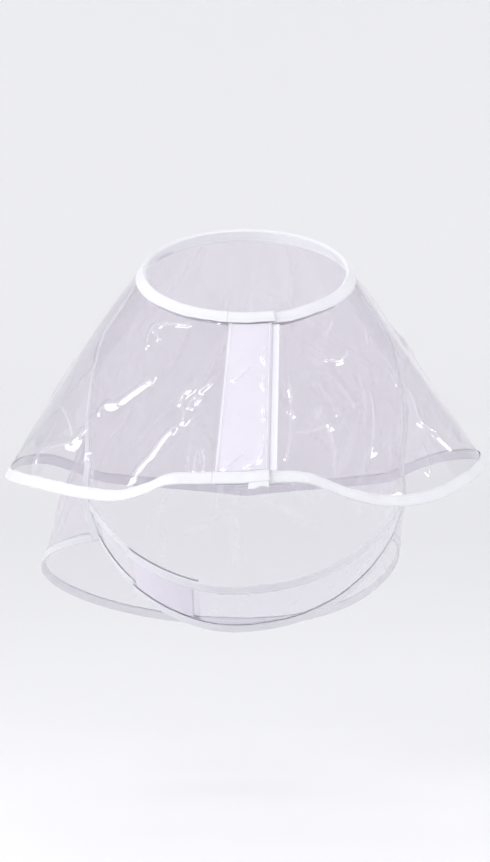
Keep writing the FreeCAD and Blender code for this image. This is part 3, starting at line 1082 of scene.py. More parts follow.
def weave_group() -> bpy.types.NodeTree:
    """Build the weave: ribs across a tape, with threads over and under, and uneven yarn.

    Returns:
        The group, which puts out a height and a shade that mixes random yarn tone with painted shade in the weave's
        low parts.
    """
    tree, nodes, given, out = new_group(
        "Weave",
        (("Lie", "NodeSocketVector", None), ("Rib Pitch", "NodeSocketFloat", 0.0009),
         ("Yarn Pitch", "NodeSocketFloat", 0.0006), ("Unevenness", "NodeSocketFloat", 0.3)),
        (("Height", "NodeSocketFloat"), ("Shade", "NodeSocketFloat")),
    )
    parts = nodes.add("ShaderNodeSeparateXYZ", {0: given.outputs["Lie"]})
    along = nodes.maths("DIVIDE", parts.outputs[0], given.outputs["Rib Pitch"])
    across = nodes.maths("DIVIDE", parts.outputs[1], given.outputs["Yarn Pitch"])
    rib = nodes.maths("SINE", nodes.maths("MULTIPLY", along, 2 * math.pi))
    yarn = nodes.maths("SINE", nodes.maths("MULTIPLY", across, 2 * math.pi))
    crossing = nodes.maths("MULTIPLY", rib, yarn)
    woven = nodes.maths("ADD", nodes.maths("MULTIPLY", rib, 0.30), nodes.maths("MULTIPLY", crossing, 0.45))
    noise = nodes.add("ShaderNodeTexNoise", {"Vector": given.outputs["Lie"], "Scale": 420.0, "Detail": 3.0})
    slow = nodes.add("ShaderNodeTexNoise", {"Vector": given.outputs["Lie"], "Scale": 45.0, "Detail": 2.0})
    fine = nodes.maths(
        "MULTIPLY", nodes.maths("SUBTRACT", noise.outputs[0], 0.5), given.outputs["Unevenness"])
    height = nodes.maths("ADD", nodes.maths("ADD", woven, fine), 0.5)
    # Random yarn tone plus painted shade: darker where the weave is low.
    shade = nodes.maths(
        "ADD", nodes.maths("MULTIPLY", slow.outputs[0], 0.6), nodes.maths("MULTIPLY", height, 0.4))
    nodes.tree.links.new(height, out.inputs["Height"])
    nodes.tree.links.new(shade, out.inputs["Shade"])
    return tree


def handling_group() -> bpy.types.NodeTree:
    """Build the marks of handling: faint patches of dust and rubbing that vary slowly.

    Returns:
        The group, which puts out a patch mask and a speck mask.
    """
    tree, nodes, given, out = new_group(
        "Handling",
        (("Lie", "NodeSocketVector", None), ("Patch Size", "NodeSocketFloat", 0.05),
         ("Contrast", "NodeSocketFloat", 2.0)),
        (("Patch", "NodeSocketFloat"), ("Speck", "NodeSocketFloat")),
    )
    scale = nodes.maths("DIVIDE", 1.0, given.outputs["Patch Size"])
    broad = nodes.add("ShaderNodeTexNoise", {"Vector": given.outputs["Lie"], "Scale": scale, "Detail": 4.0})
    patch = nodes.maths(
        "MULTIPLY", nodes.maths("SUBTRACT", broad.outputs[0], 0.42), given.outputs["Contrast"])
    fine = nodes.add("ShaderNodeTexNoise", {"Vector": given.outputs["Lie"], "Scale": 900.0, "Detail": 2.0})
    speck = nodes.maths("MULTIPLY", nodes.maths("SUBTRACT", fine.outputs[0], 0.60), 6.0)
    for socket, name in ((patch, "Patch"), (speck, "Speck")):
        held = nodes.add("ShaderNodeClamp", {0: socket})
        nodes.tree.links.new(held.outputs[0], out.inputs[name])
    return tree


def film_group() -> bpy.types.NodeTree:
    """Build the film's own surface: slow orange-peel waves and a whitened line along each fold's crest, partly the
    milkiness of creased film and partly a painted highlight.

    Returns:
        The group, which puts out a height, a crest whitening mask that is partly a painted highlight, and a loss of
        gloss.
    """
    tree, nodes, given, out = new_group(
        "Film Surface",
        (("Lie", "NodeSocketVector", None), ("Crest", "NodeSocketFloat", 0.0),
         ("Peel Size", "NodeSocketFloat", 0.02), ("Whitening And Highlight Strength", "NodeSocketFloat", 0.3)),
        (("Height", "NodeSocketFloat"), ("Crest Whitening And Highlight", "NodeSocketFloat"), ("Gloss Loss", "NodeSocketFloat")),
    )
    scale = nodes.maths("DIVIDE", 1.0, given.outputs["Peel Size"])
    peel = nodes.add("ShaderNodeTexNoise", {"Vector": given.outputs["Lie"], "Scale": scale, "Detail": 1.5})
    breakup = nodes.add("ShaderNodeTexNoise", {"Vector": given.outputs["Lie"], "Scale": 190.0, "Detail": 3.0})
    broken = nodes.maths("ADD", nodes.maths("MULTIPLY", breakup.outputs[0], 1.2), 0.1)
    # Whitening along fold crests: partly the milkiness of creased film, partly a painted highlight that shows whatever
    # the lamps do.
    line = nodes.maths("MULTIPLY", given.outputs["Crest"], broken)
    crest_whitening_and_highlight = nodes.maths("MULTIPLY", line, given.outputs["Whitening And Highlight Strength"])
    held = nodes.add("ShaderNodeClamp", {0: crest_whitening_and_highlight})
    loss = nodes.maths("MULTIPLY", breakup.outputs[0], 0.05)
    nodes.tree.links.new(peel.outputs[0], out.inputs["Height"])
    nodes.tree.links.new(held.outputs[0], out.inputs["Crest Whitening And Highlight"])
    nodes.tree.links.new(loss, out.inputs["Gloss Loss"])
    return tree


class Groups:
    """The node groups that the finishes share, each built once."""

    def __init__(self) -> None:
        """Build every group."""
        self.weave = weave_group()
        self.handling = handling_group()
        self.film = film_group()


# ------------------------------------------------------------------ finishes
@dataclass(frozen=True)
class ClearFilm:
    """Soft clear sheet: it tints what is behind it faintly and mirrors lamps in sharp streaks."""

    name: str = "clear_film"
    tint: tuple = (0.925, 0.908, 0.932, 1.0)
    veil: float = 0.035
    mirror: float = 0.085
    roughness: float = 0.045
    peel_size: float = 0.030
    peel_depth: float = 0.10
    # How white the fold crests turn: partly creased-film milkiness, partly a painted highlight.
    crest_whitening_and_highlight_strength: float = 0.30

    def material(self, groups: Groups) -> bpy.types.Material:
        """Build the finish.

        Args:
            groups: the shared node groups.

        Returns:
            The material.
        """
        made = bpy.data.materials.new(self.name)
        made.use_nodes = True
        made.node_tree.nodes.clear()
        nodes = Nodes(made.node_tree)
        lie = nodes.add("ShaderNodeAttribute", attribute_name="lie").outputs["Vector"]
        crest = nodes.add("ShaderNodeAttribute", attribute_name="crest").outputs["Fac"]
        surface = nodes.add("ShaderNodeGroup", node_tree=groups.film)
        handling = nodes.add("ShaderNodeGroup", node_tree=groups.handling)
        for node in (surface, handling):
            nodes.tree.links.new(lie, node.inputs["Lie"])
        nodes.tree.links.new(crest, surface.inputs["Crest"])
        surface.inputs["Peel Size"].default_value = self.peel_size
        surface.inputs["Whitening And Highlight Strength"].default_value = self.crest_whitening_and_highlight_strength
        handling.inputs["Patch Size"].default_value = 0.07
        bump = nodes.add("ShaderNodeBump", {
            "Height": surface.outputs["Height"], "Strength": self.peel_depth, "Distance": 0.0006,
        })
        rough = nodes.maths("ADD", surface.outputs["Gloss Loss"], self.roughness)
        facing = nodes.add("ShaderNodeLayerWeight", {"Blend": 0.5, "Normal": bump.outputs[0]}).outputs["Facing"]
        square = nodes.maths("MULTIPLY", facing, facing)
        fifth = nodes.maths("MULTIPLY", nodes.maths("MULTIPLY", square, square), facing)
        mirror = nodes.maths("ADD", nodes.maths("MULTIPLY", fifth, 1.0 - self.mirror), self.mirror)
        # The veil: an even milky haze, faint handling patches, and the crest whitening, which is partly a painted
        # highlight.
        veil = nodes.maths("ADD", surface.outputs["Crest Whitening And Highlight"], nodes.maths(
            "ADD", nodes.maths("MULTIPLY", handling.outputs["Patch"], 0.020), self.veil))
        clear = nodes.add("ShaderNodeBsdfTransparent", {"Color": self.tint})
        body = nodes.add("ShaderNodeBsdfPrincipled", {
            "Base Color": (0.86, 0.85, 0.90, 1.0), "Roughness": rough, "Normal": bump.outputs[0],
            "IOR": 1.5,
        })
        gloss = nodes.add("ShaderNodeBsdfGlossy", {
            "Color": (1.0, 1.0, 1.0, 1.0), "Roughness": rough, "Normal": bump.outputs[0],
        })
        veiled = nodes.add("ShaderNodeMixShader", {0: veil, 1: clear.outputs[0], 2: body.outputs[0]})
        final = nodes.add("ShaderNodeMixShader", {0: mirror, 1: veiled.outputs[0], 2: gloss.outputs[0]})
        nodes.add("ShaderNodeOutputMaterial", {"Surface": final.outputs[0]})
        return made


@dataclass(frozen=True)
class WovenTape:
    """Soft white polyester tape with a close ribbed weave."""

    name: str = "white_tape"
    # A lit and a shaded colour of the tape: the weave's low parts take painted shade, and random yarn tone and
    # handling dirt also mix between them.
    light: tuple = (0.775, 0.770, 0.797, 1.0)
    shade: tuple = (0.66, 0.655, 0.705, 1.0)
    rib_pitch: float = 0.00085
    yarn_pitch: float = 0.00055
    relief: float = 0.00012
    roughness: float = 0.72
    sheen: float = 0.25

    def material(self, groups: Groups) -> bpy.types.Material:
        """Build the finish.

        Args:
            groups: the shared node groups.

        Returns:
            The material.
        """
        made = bpy.data.materials.new(self.name)
        made.use_nodes = True
        made.node_tree.nodes.clear()
        nodes = Nodes(made.node_tree)
        lie = nodes.add("ShaderNodeAttribute", attribute_name="lie").outputs["Vector"]
        weave = nodes.add("ShaderNodeGroup", node_tree=groups.weave)
        handling = nodes.add("ShaderNodeGroup", node_tree=groups.handling)
        for node in (weave, handling):
            nodes.tree.links.new(lie, node.inputs["Lie"])
        weave.inputs["Rib Pitch"].default_value = self.rib_pitch
        weave.inputs["Yarn Pitch"].default_value = self.yarn_pitch
        # Colour runs from shade to light with random yarn tone, handling dirt, and painted shade in the weave's low
        # parts.
        dirt = nodes.maths("MULTIPLY", handling.outputs["Patch"], 0.35)
        share = nodes.maths("SUBTRACT", nodes.maths("ADD", weave.outputs["Shade"], 0.12), dirt)
        held = nodes.add("ShaderNodeClamp", {0: share}).outputs[0]
        colour = nodes.mixed(held, self.shade, self.light)
        rough = nodes.maths("ADD", nodes.maths("MULTIPLY", handling.outputs["Speck"], 0.10), self.roughness)
        bump = nodes.add("ShaderNodeBump", {
            "Height": weave.outputs["Height"], "Strength": 0.8, "Distance": self.relief,
        })
        body = nodes.add("ShaderNodeBsdfPrincipled", {
            "Base Color": colour, "Roughness": rough, "Normal": bump.outputs[0],
            "Sheen Weight": self.sheen, "Sheen Roughness": 0.45, "Specular IOR Level": 0.35,
        })
        nodes.add("ShaderNodeOutputMaterial", {"Surface": body.outputs[0]})
        return made


@dataclass(frozen=True)
class Backdrop:
    """Plain matt pale paper."""

    name: str = "pale_paper"
    colour: tuple = (0.80, 0.80, 0.815, 1.0)

    def material(self, groups: Groups) -> bpy.types.Material:
        """Build the finish.

        Args:
            groups: the shared node groups, which plain paper has no need of.

        Returns:
            The material.
        """
        made = bpy.data.materials.new(self.name)
        made.use_nodes = True
        body = made.node_tree.nodes["Principled BSDF"]
        body.inputs["Base Color"].default_value = self.colour
        body.inputs["Roughness"].default_value = 0.9
        body.inputs["Specular IOR Level"].default_value = 0.1
        return made


class Finishes:
    """Every material, made once."""

    def __init__(self) -> None:
        """Make the materials from the shared groups."""
        groups = Groups()
        self.film = ClearFilm().material(groups)
        self.flap_film = ClearFilm(name="clear_film_slab", tint=(0.975, 0.970, 0.980, 1.0), veil=0.012,
                                   mirror=0.05, roughness=0.035).material(groups)
        self.tape = WovenTape().material(groups)
        self.hook = WovenTape(name="hook_tape", light=(0.88, 0.86, 0.905, 1.0),
                              shade=(0.80, 0.78, 0.845, 1.0),
                              rib_pitch=0.0016, yarn_pitch=0.0011, roughness=0.55, sheen=0.05).material(groups)
        self.loop = WovenTape(name="loop_tape", light=(0.91, 0.90, 0.935, 1.0), shade=(0.80, 0.79, 0.86, 1.0),
                              rib_pitch=0.0013, yarn_pitch=0.0013, roughness=0.85, sheen=0.5).material(groups)
        self.thread = WovenTape(name="thread", light=(0.93, 0.93, 0.95, 1.0), shade=(0.84, 0.84, 0.88, 1.0),
                                rib_pitch=0.00035, yarn_pitch=0.0011, relief=0.00006, roughness=0.5,
                                sheen=0.1).material(groups)
        self.paper = Backdrop().material(groups)


class Slot(Enum):
    """The record's material slots."""

    FILM = "clear_film"
    TAPE = "white_tape"
    HOOK = "hook_tape"
    LOOP = "loop_tape"
    THREAD = "thread"


@dataclass(frozen=True)
class Hinge:
    """Where a panel turns: the two bodies, and the narrow strip beside the seam that bends."""

    still: str
    moving: str
    start: tuple
    end: tuple

    @staticmethod
    def beside(joint: str, outward: Array, towards: Array, strip: float) -> "Hinge":
        """Lay the bending strip beside a joint's axis.

        Args:
            joint: the joint's name in the record.
            outward: the sheet's outward normal there.
            towards: a rough way from the axis into the moving panel.
            strip: how wide the bending strip is.

        Returns:
            The hinge.
        """
        row = next(x for x in frame["joints"] if x["name"] == joint)
        way = unit(np.cross(np.array(row["axis"], float), outward))
        if way @ towards < 0:
            way = -way
        at = np.array(row["pos_m"], float)
        return Hinge(row["parent"], row["child"], tuple(at), tuple(at + way * strip))


def settle(piece: bpy.types.Object, finish: bpy.types.Material, slot: Slot, body: str | Hinge,
           *nodes: str) -> bpy.types.Object:
    """Give a piece its finish and join it to the part.

    Args:
        piece: the mesh object.
        finish: its material.
        slot: the record's slot for that material.
        body: the body it rides on, or the hinge it bends over.
        nodes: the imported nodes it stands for.

    Returns:
        The piece.
    """
    piece.data.materials.append(finish)
    if isinstance(body, Hinge):
        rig.blend(piece, body.still, body.moving, start=body.start, end=body.end)
    else:
        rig.ride(piece, body)
    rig.replaces(piece, *nodes)
    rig.slot(piece, slot.value)
    rides = body if isinstance(body, str) else body.moving
    log.info("%s: %d faces, on %s", piece.name, len(piece.data.polygons), rides)
    return piece


# ------------------------------------------------------------------ cape
CAPE = CapeShape()
FLAP = CapeShape(dips=False)


def front_path(*places: tuple[float, float]) -> tuple:
    """Turn side distances into a crease's path on the cape.

    Args:
        places: rows of (side distance in mm, share of the way down). A path that lies wholly on
            the -X front panel takes that panel's own turn.

    Returns:
        The path, as rows of (angle, run).
    """
    turn = 360.0 if max(x for x, _ in places) < -14.0 else 0.0
    return tuple((turn + float(CAPE.angle_at(x / 1000.0, run)), run) for x, run in places)


@dataclass
class Cape:
    """The flared cape: one film sheet, its bound hem and its bound neck."""

    body: str = "coat"
    under_inset: float = 0.003
    rows: int = 174
    close_columns: int = 200
    far_columns: int = 152
    close_share: float = 0.21
    cut: tuple[float, float] = (0.87, 0.44)
    cut_area: float = 0.228
    neck_room: tuple[float, float] = (0.0022, 0.0040)
    slant: float = 0.236
    neck_calm: float = 0.022
    hem_calm: float = 0.016
    side_calm: float = 0.010
    mean_radius: float = 0.155
    creases: tuple = field(default_factory=lambda: (
        Crease(front_path((-187, 0.96), (-180, 0.87), (-165, 0.81), (-147, 0.76), (-135, 0.68),
                          (-125, 0.61)), 0.011, 0.0030),
        Crease(front_path((-131, 0.66), (-120, 0.565), (-109, 0.54), (-95, 0.47), (-74, 0.36)),
               0.008, 0.0021),
        Crease(front_path((-101, 0.95), (-91, 0.85), (-81, 0.79), (-69, 0.70), (-56, 0.65)), 0.009, 0.0026),
        Crease(front_path((-60, 0.68), (-53, 0.62), (-54, 0.55), (-56, 0.52), (-52, 0.47),
                          (-42, 0.45)), 0.006, 0.0016),
        Crease(front_path((-43, 0.48), (-34, 0.44), (-26, 0.39), (-18, 0.33)), 0.005, 0.0018),
        Crease(front_path((-50, 0.58), (-46, 0.52), (-41, 0.49)), 0.004, 0.0016),
        Crease(front_path((-44, 0.545), (-37, 0.50)), 0.003, 0.0012),
        Crease(front_path((-43, 0.955), (-43, 0.87), (-40, 0.80)), 0.004, 0.0018),
        Crease(front_path((-36, 0.955), (-35, 0.87), (-38, 0.80)), 0.004, 0.0018),
        Crease(front_path((-85, 0.27), (-83, 0.19), (-80, 0.15), (-72, 0.11)), 0.006, 0.0017),
        Crease(front_path((-80, 0.155), (-73, 0.20)), 0.004, 0.0016),
        Crease(front_path((-77, 0.145), (-64, 0.11), (-46, 0.09)), 0.004, 0.0015),
        Crease(front_path((-138, 0.80), (-134, 0.85), (-130, 0.92)), 0.007, -0.0024),
        Crease(front_path((36, 0.35), (39, 0.50), (38, 0.68), (35, 0.86), (33, 0.95)), 0.005, 0.0021),
        Crease(front_path((62, 0.25), (72, 0.29), (81, 0.29), (90, 0.26)), 0.005, 0.0019),
        Crease(front_path((70, 0.60), (76, 0.74), (74, 0.90)), 0.008, -0.0022),
        Crease(front_path((104, 0.42), (108, 0.60), (104, 0.78)), 0.009, 0.0026),
        Crease(front_path((139, 0.50), (144, 0.58), (149, 0.66), (158, 0.71), (170, 0.77)), 0.007, 0.0028),
        Crease(front_path((160, 0.72), (170, 0.78), (184, 0.87)), 0.006, 0.0022),
        Crease(front_path((150, 0.74), (155, 0.81), (158, 0.90)), 0.006, 0.0020),
        Crease(front_path((-160, 0.62), (-152, 0.70), (-150, 0.80)), 0.010, -0.0014),
        *scattered(11, 30, (95.0, 265.0), (0.18, 0.86), (0.16, 0.5), 55.0, (0.006, 0.012),
                   (0.0010, 0.0026), 0.35),
        *scattered(17, 12, (-80.0, 85.0), (0.12, 0.9), (0.05, 0.14), 60.0, (0.003, 0.005),
                   (0.0004, 0.0010)),
    ))

    def start(self, run: Array | float) -> Array:
        """Return the angle of the +X front panel's hidden edge."""
        return CAPE.angle_at(CAPE.hinge_x(run) + self.under_inset, run)

    def end(self, run: Array | float) -> Array:
        """Return the angle of the -X front panel's edge at the flap's sewn line."""
        return 360.0 + CAPE.angle_at(CAPE.hinge_x(run), run)

    def shares(self) -> Array:
        """Return the places round the cape, closer together at the front."""
        close = np.linspace(0.0, self.close_share, self.close_columns)
        far = np.linspace(self.close_share, 1.0 - self.close_share, self.far_columns)
        return np.concatenate([close, far[1:-1], 1.0 - close[::-1]])

    def film(self) -> bpy.types.Object:
        """Lay the film sheet with its creases.

        Returns:
            The film's mesh object.
        """
        share, run = np.meshgrid(self.shares(), np.linspace(0.0, 1.0, self.rows), indexing="ij")
        angle = blend(self.start(run), self.end(run), share)
        smooth = CAPE.lifted(angle, run)
        height, crest = CreaseField(CAPE, self.creases).relief(smooth.reshape(-1, 3))
        calm = smooth_step(run * self.slant / self.neck_calm)
        calm = calm * smooth_step((1.0 - run) * self.slant / self.hem_calm)
        distance = np.sin(np.radians(angle)) * blend(CAPE.neck_half_width, CAPE.half_width, run)
        front = (np.cos(np.radians(angle)) > 0)
        taped = front & (distance > CAPE.hinge_x(run)) & (distance < CAPE.free_x(run) + CAPE.loop_reach)
        beside = np.where(front, np.minimum(
            np.abs(distance - CAPE.hinge_x(run)), np.abs(distance - CAPE.free_x(run) - CAPE.loop_reach)), 1.0)
        calm = calm * np.where(taped, 0.0, smooth_step(beside / self.side_calm))
        lift = height.reshape(run.shape) * calm
        points = smooth + CAPE.normal(angle, run) * lift[..., None]
        lie = np.stack([np.radians(angle) * self.mean_radius, run * self.slant], -1)
        rows, columns = run.shape
        return mesh_object(
            "film_cape", points.reshape(-1, 3), grid_faces(rows, columns), lie.reshape(-1, 2),
            (crest.reshape(run.shape) * calm).ravel(),
        )

    def build(self, finishes: Finishes) -> None:
        """Build and dress every piece of the cape.

        Args:
            finishes: the materials.
        """
        hem, neck = Rail(CAPE, 1.0, -1.0), Rail(CAPE, 0.0, 1.0)
        neck_tape = FoldedTape(inner_room=self.neck_room)
        hem_ends = float(self.start(1.0)), float(self.end(1.0))
        neck_ends = float(self.start(0.0)), float(self.end(0.0))
        film = settle(self.film(), finishes.film, Slot.FILM, self.body, "cape_film")
        hem_tape = settle(FoldedTape().build("tape_cape_hem", hem, *hem_ends), finishes.tape, Slot.TAPE,
                          self.body, "cape_hem_binding")
        hem_thread = settle(StitchRow().build("thread_cape_hem", hem, *hem_ends, TAPE_FACES),
                            finishes.thread, Slot.THREAD, self.body, "cape_hem_thread")
        top_tape = settle(neck_tape.build("tape_neck", neck, *neck_ends), finishes.tape, Slot.TAPE,
                          self.body, "neck_binding")
        inner = -TAPE_FACE - blend(self.neck_room[0], self.neck_room[1], 0.76)
        top_thread = settle(StitchRow().build("thread_neck", neck, *neck_ends, (TAPE_FACE, inner)),
                            finishes.thread, Slot.THREAD, self.body, "neck_thread")
        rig.sheet(film, flat=self.cut, held="hung", rests_on=[top_tape.name], area=self.cut_area,
                 with_pieces=[hem_tape, hem_thread, top_tape, top_thread])


# ------------------------------------------------------------------ placket
@dataclass
class Placket:
    """The over-flap on the dog's right front edge and the strip that it closes on."""

    body: str = "coat"
    film_half: float = 0.0002
    tape_inset: float = 0.0012
    loop_left: float = 0.006
    tape_length: float = 0.146
    hook_width: float = 0.044
    loop_width: float = 0.046
    hook_gap: float = 0.0002
    loop_face: float = 0.0003
    loop_thread_face: float = 0.00095
    seam_inset: float = 0.002
    tape_end: float = 0.0105
    tail_width: float = 0.017
    tail_drop: float = 0.0065
    tail_thickness: float = 0.0011
    bending_strip: float = 0.005
    length: float = 0.167
    width: float = 0.048
    cut: tuple[float, float] = (0.051, 0.167)
    cut_area: float = 0.0073
    creases: tuple = field(default_factory=lambda: (
        Crease(front_path((15, 0.72), (14, 0.82), (9, 0.885), (-4, 0.925)), 0.0055, 0.0020),
        Crease(front_path((10, 0.945), (2, 0.94), (-6, 0.945)), 0.0035, 0.0012),
        Crease(front_path((17, 0.20), (15, 0.26), (17, 0.33)), 0.004, 0.0015),
        Crease(front_path((16, 0.38), (14, 0.42), (16, 0.48)), 0.004, 0.0014),
        Crease(front_path((-22, 0.94), (-12, 0.88), (0, 0.82)), 0.005, 0.0010),
        Crease(front_path((-14, 0.42), (-6, 0.38), (4, 0.31)), 0.006, 0.0008),
        Crease(front_path((14, 0.56), (16, 0.61), (14, 0.66)), 0.0035, 0.0012),
    ))

    @staticmethod
    def hinge() -> Hinge:
        """Find the flap's sewn edge.

        Returns:
            The edge as a hinge.
        """
        run = np.array(0.5)
        outward = FLAP.normal(FLAP.angle_at(FLAP.hinge_x(run), run), run)
        return Hinge.beside("flap_peel", outward, np.array([1.0, 0.0, 0.0]), Placket.bending_strip)

    def place(self, surface: CapeShape, left: EdgeAt, right: EdgeAt, low: float, high: float) -> Place:
        """Make a way to place points on the placket.

        Args:
            surface: the sheet to lie on.
            left: a function that gives the left edge's side distance at a run.
            right: a function that gives the right edge's side distance at a run.
            low: the run at the top end.
            high: the run at the bottom end.

        Returns:
            A function of (across 0 to 1, along 0 to 1, lift) that gives points.
        """
        def at(across: Array, along: Array, lift: Array) -> Array:
            """Find points on the placket.

            Args:
                across: the shares of the way from the left edge to the right.
                along: the shares of the way from the top end to the bottom.
                lift: how far off the sheet, outwards.

            Returns:
                The points, on the last axis.
            """
            run = blend(low, high, along)
            distance = blend(left(run), right(run), across)
            return surface.lifted(surface.angle_at(distance, run), run, lift)
        return at

    def film(self) -> bpy.types.Object:
        """Lay the flap's film, loose over the tape between its two seams.

        Returns:
            The film's mesh object.
        """
        across, along = np.meshgrid(np.linspace(0, 1, 70), np.linspace(0, 1, 150), indexing="ij")
        at = self.place(FLAP, FLAP.hinge_x, FLAP.free_x, 0.0, 1.0)
        middle = at(across, along, np.zeros_like(across))
        height, crest = CreaseField(FLAP, self.creases, wave_height=0.00022, wave_length=0.04, seed=8).relief(
            middle.reshape(-1, 3))
        ends = smooth_step(along * self.length / 0.016) * smooth_step((1 - along) * self.length / 0.014)
        sides = smooth_step(np.minimum(across, 1 - across) * self.width / 0.006)
        loose = np.clip(height.reshape(across.shape), -0.0001, None) * ends * sides
        top = at(across, along, self.film_half + loose)
        bottom = at(across, along, -self.film_half + loose)
        lie = np.stack([along * self.length, across * self.width], -1).reshape(-1, 2)
        mark = (crest.reshape(across.shape) * ends * sides).ravel()
        return mesh_object(
            "film_flap", np.concatenate([top.reshape(-1, 3), bottom.reshape(-1, 3)]),
            slab_faces(*across.shape), np.concatenate([lie, lie]), np.concatenate([mark, mark]),
        )

    def tail(self) -> bpy.types.Object:
        """Fold the loose end of the hem tape that hangs below the flap.

        Returns:
            The tape end's mesh object.
        """
        across, along = np.meshgrid(np.linspace(0, 1, 24), np.linspace(0, 1, 12), indexing="ij")
        right = FLAP.free[1] - 0.001
        drop = 1.0 + (0.0009 + along * (self.tail_drop - 0.0009)) / self.length
        sag = 0.0008 * np.sin(across * math.pi * 1.4) * along
        half = self.tail_thickness / 2 * np.sqrt(np.clip(1 - (2 * across - 1) ** 8, 0.15, 1.0))
        distance = right - self.tail_width * (1 - across) + 0.0006 * along * (across - 0.5)
        ragged = drop + 0.0035 * along * np.sin(across * 7.0) / self.length * 0.3
        top = FLAP.lifted(FLAP.angle_at(distance, ragged), ragged, half + sag)
        bottom = FLAP.lifted(FLAP.angle_at(distance, ragged), ragged, -half + sag)
        lie = np.stack([across * self.tail_width, along * self.tail_drop], -1).reshape(-1, 2)
        return mesh_object("tape_flap_tail", np.concatenate([top.reshape(-1, 3), bottom.reshape(-1, 3)]),
                           slab_faces(*across.shape), np.concatenate([lie, lie]))

    def build(self, finishes: Finishes) -> None:
        """Build and dress every piece of the placket.

        Args:
            finishes: the materials.
        """
        hinge = self.hinge()
        low, high = self.tape_end / self.length, 1.0 - self.tape_end / self.length
        film = settle(self.film(), finishes.flap_film, Slot.FILM, hinge, "flap_film")
        hook_place = self.place(
            FLAP, lambda run: FLAP.hinge_x(run) + self.tape_inset,
            lambda run: FLAP.free_x(run) - self.tape_inset, low, high)
        hook = settle(
            FasteningTape(PileKind.HOOKS).build(
                "tape_hook", hook_place, self.tape_length, self.hook_width, -self.film_half - self.hook_gap),
            finishes.hook, Slot.HOOK, hinge, "flap_hook_tape")
        loop_place = self.place(
            CAPE, lambda run: CAPE.hinge_x(run) + self.loop_left,
            lambda run: CAPE.free_x(run) + CAPE.loop_reach, low, high)
        settle(
            FasteningTape(PileKind.LOOPS, pile=0.0008, pitch=0.0018, seed=6).build(
                "tape_loop", loop_place, self.tape_length, self.loop_width, self.loop_face),
            finishes.loop, Slot.LOOP, self.body, "placket_loop_tape")
        hem = Rail(FLAP, 1.0, -1.0)
        hem_ends = float(FLAP.angle_at(FLAP.hinge_x(1.0), 1.0)), float(FLAP.angle_at(FLAP.free_x(1.0), 1.0))
        neck = Rail(FLAP, 0.0, 1.0)
        neck_ends = float(FLAP.angle_at(FLAP.hinge_x(0.0), 0.0)), float(FLAP.angle_at(FLAP.free_x(0.0), 0.0))
        tape = FoldedTape()
        pieces = [
            settle(tape.build("tape_flap_hem", hem, *hem_ends), finishes.tape, Slot.TAPE, hinge,
                   "flap_hem_binding"),
            settle(StitchRow().build("thread_flap_hem", hem, *hem_ends, TAPE_FACES), finishes.thread,
                   Slot.THREAD, hinge, "flap_hem_thread"),
            settle(tape.build("tape_flap_neck", neck, *neck_ends), finishes.tape, Slot.TAPE, hinge,
                   "flap_neck_binding"),
            settle(self.tail(), finishes.tape, Slot.TAPE, hinge, "flap_binding_tail"),
        ]
        seam = StitchRow(inset=self.tape_inset + self.seam_inset)
        pieces.append(settle(seam.build(
            "thread_flap_left", Line(FLAP, *FLAP.hinge), low, high, (self.film_half,)),
            finishes.thread, Slot.THREAD, hinge, "flap_seam_thread_left"))
        seam = StitchRow(inset=-self.tape_inset - self.seam_inset)
        pieces.append(settle(seam.build(
            "thread_flap_right", Line(FLAP, *FLAP.free), low, high, (self.film_half,)),
            finishes.thread, Slot.THREAD, hinge, "flap_seam_thread_right"))
        loop_edge = Line(CAPE, CAPE.free[0] + CAPE.loop_reach, CAPE.free[1] + CAPE.loop_reach)
        loop_seam = StitchRow(inset=-self.seam_inset)
        settle(loop_seam.build("thread_loop", loop_edge, low, high, (self.loop_thread_face,)),
               finishes.thread, Slot.THREAD, self.body, "loop_tape_thread")
        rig.sheet(film, flat=self.cut, held="hung", rests_on=["film_cape"], area=self.cut_area,
                 with_pieces=[hook, *pieces])


# ------------------------------------------------------------------ coat
COAT = CoatShape()


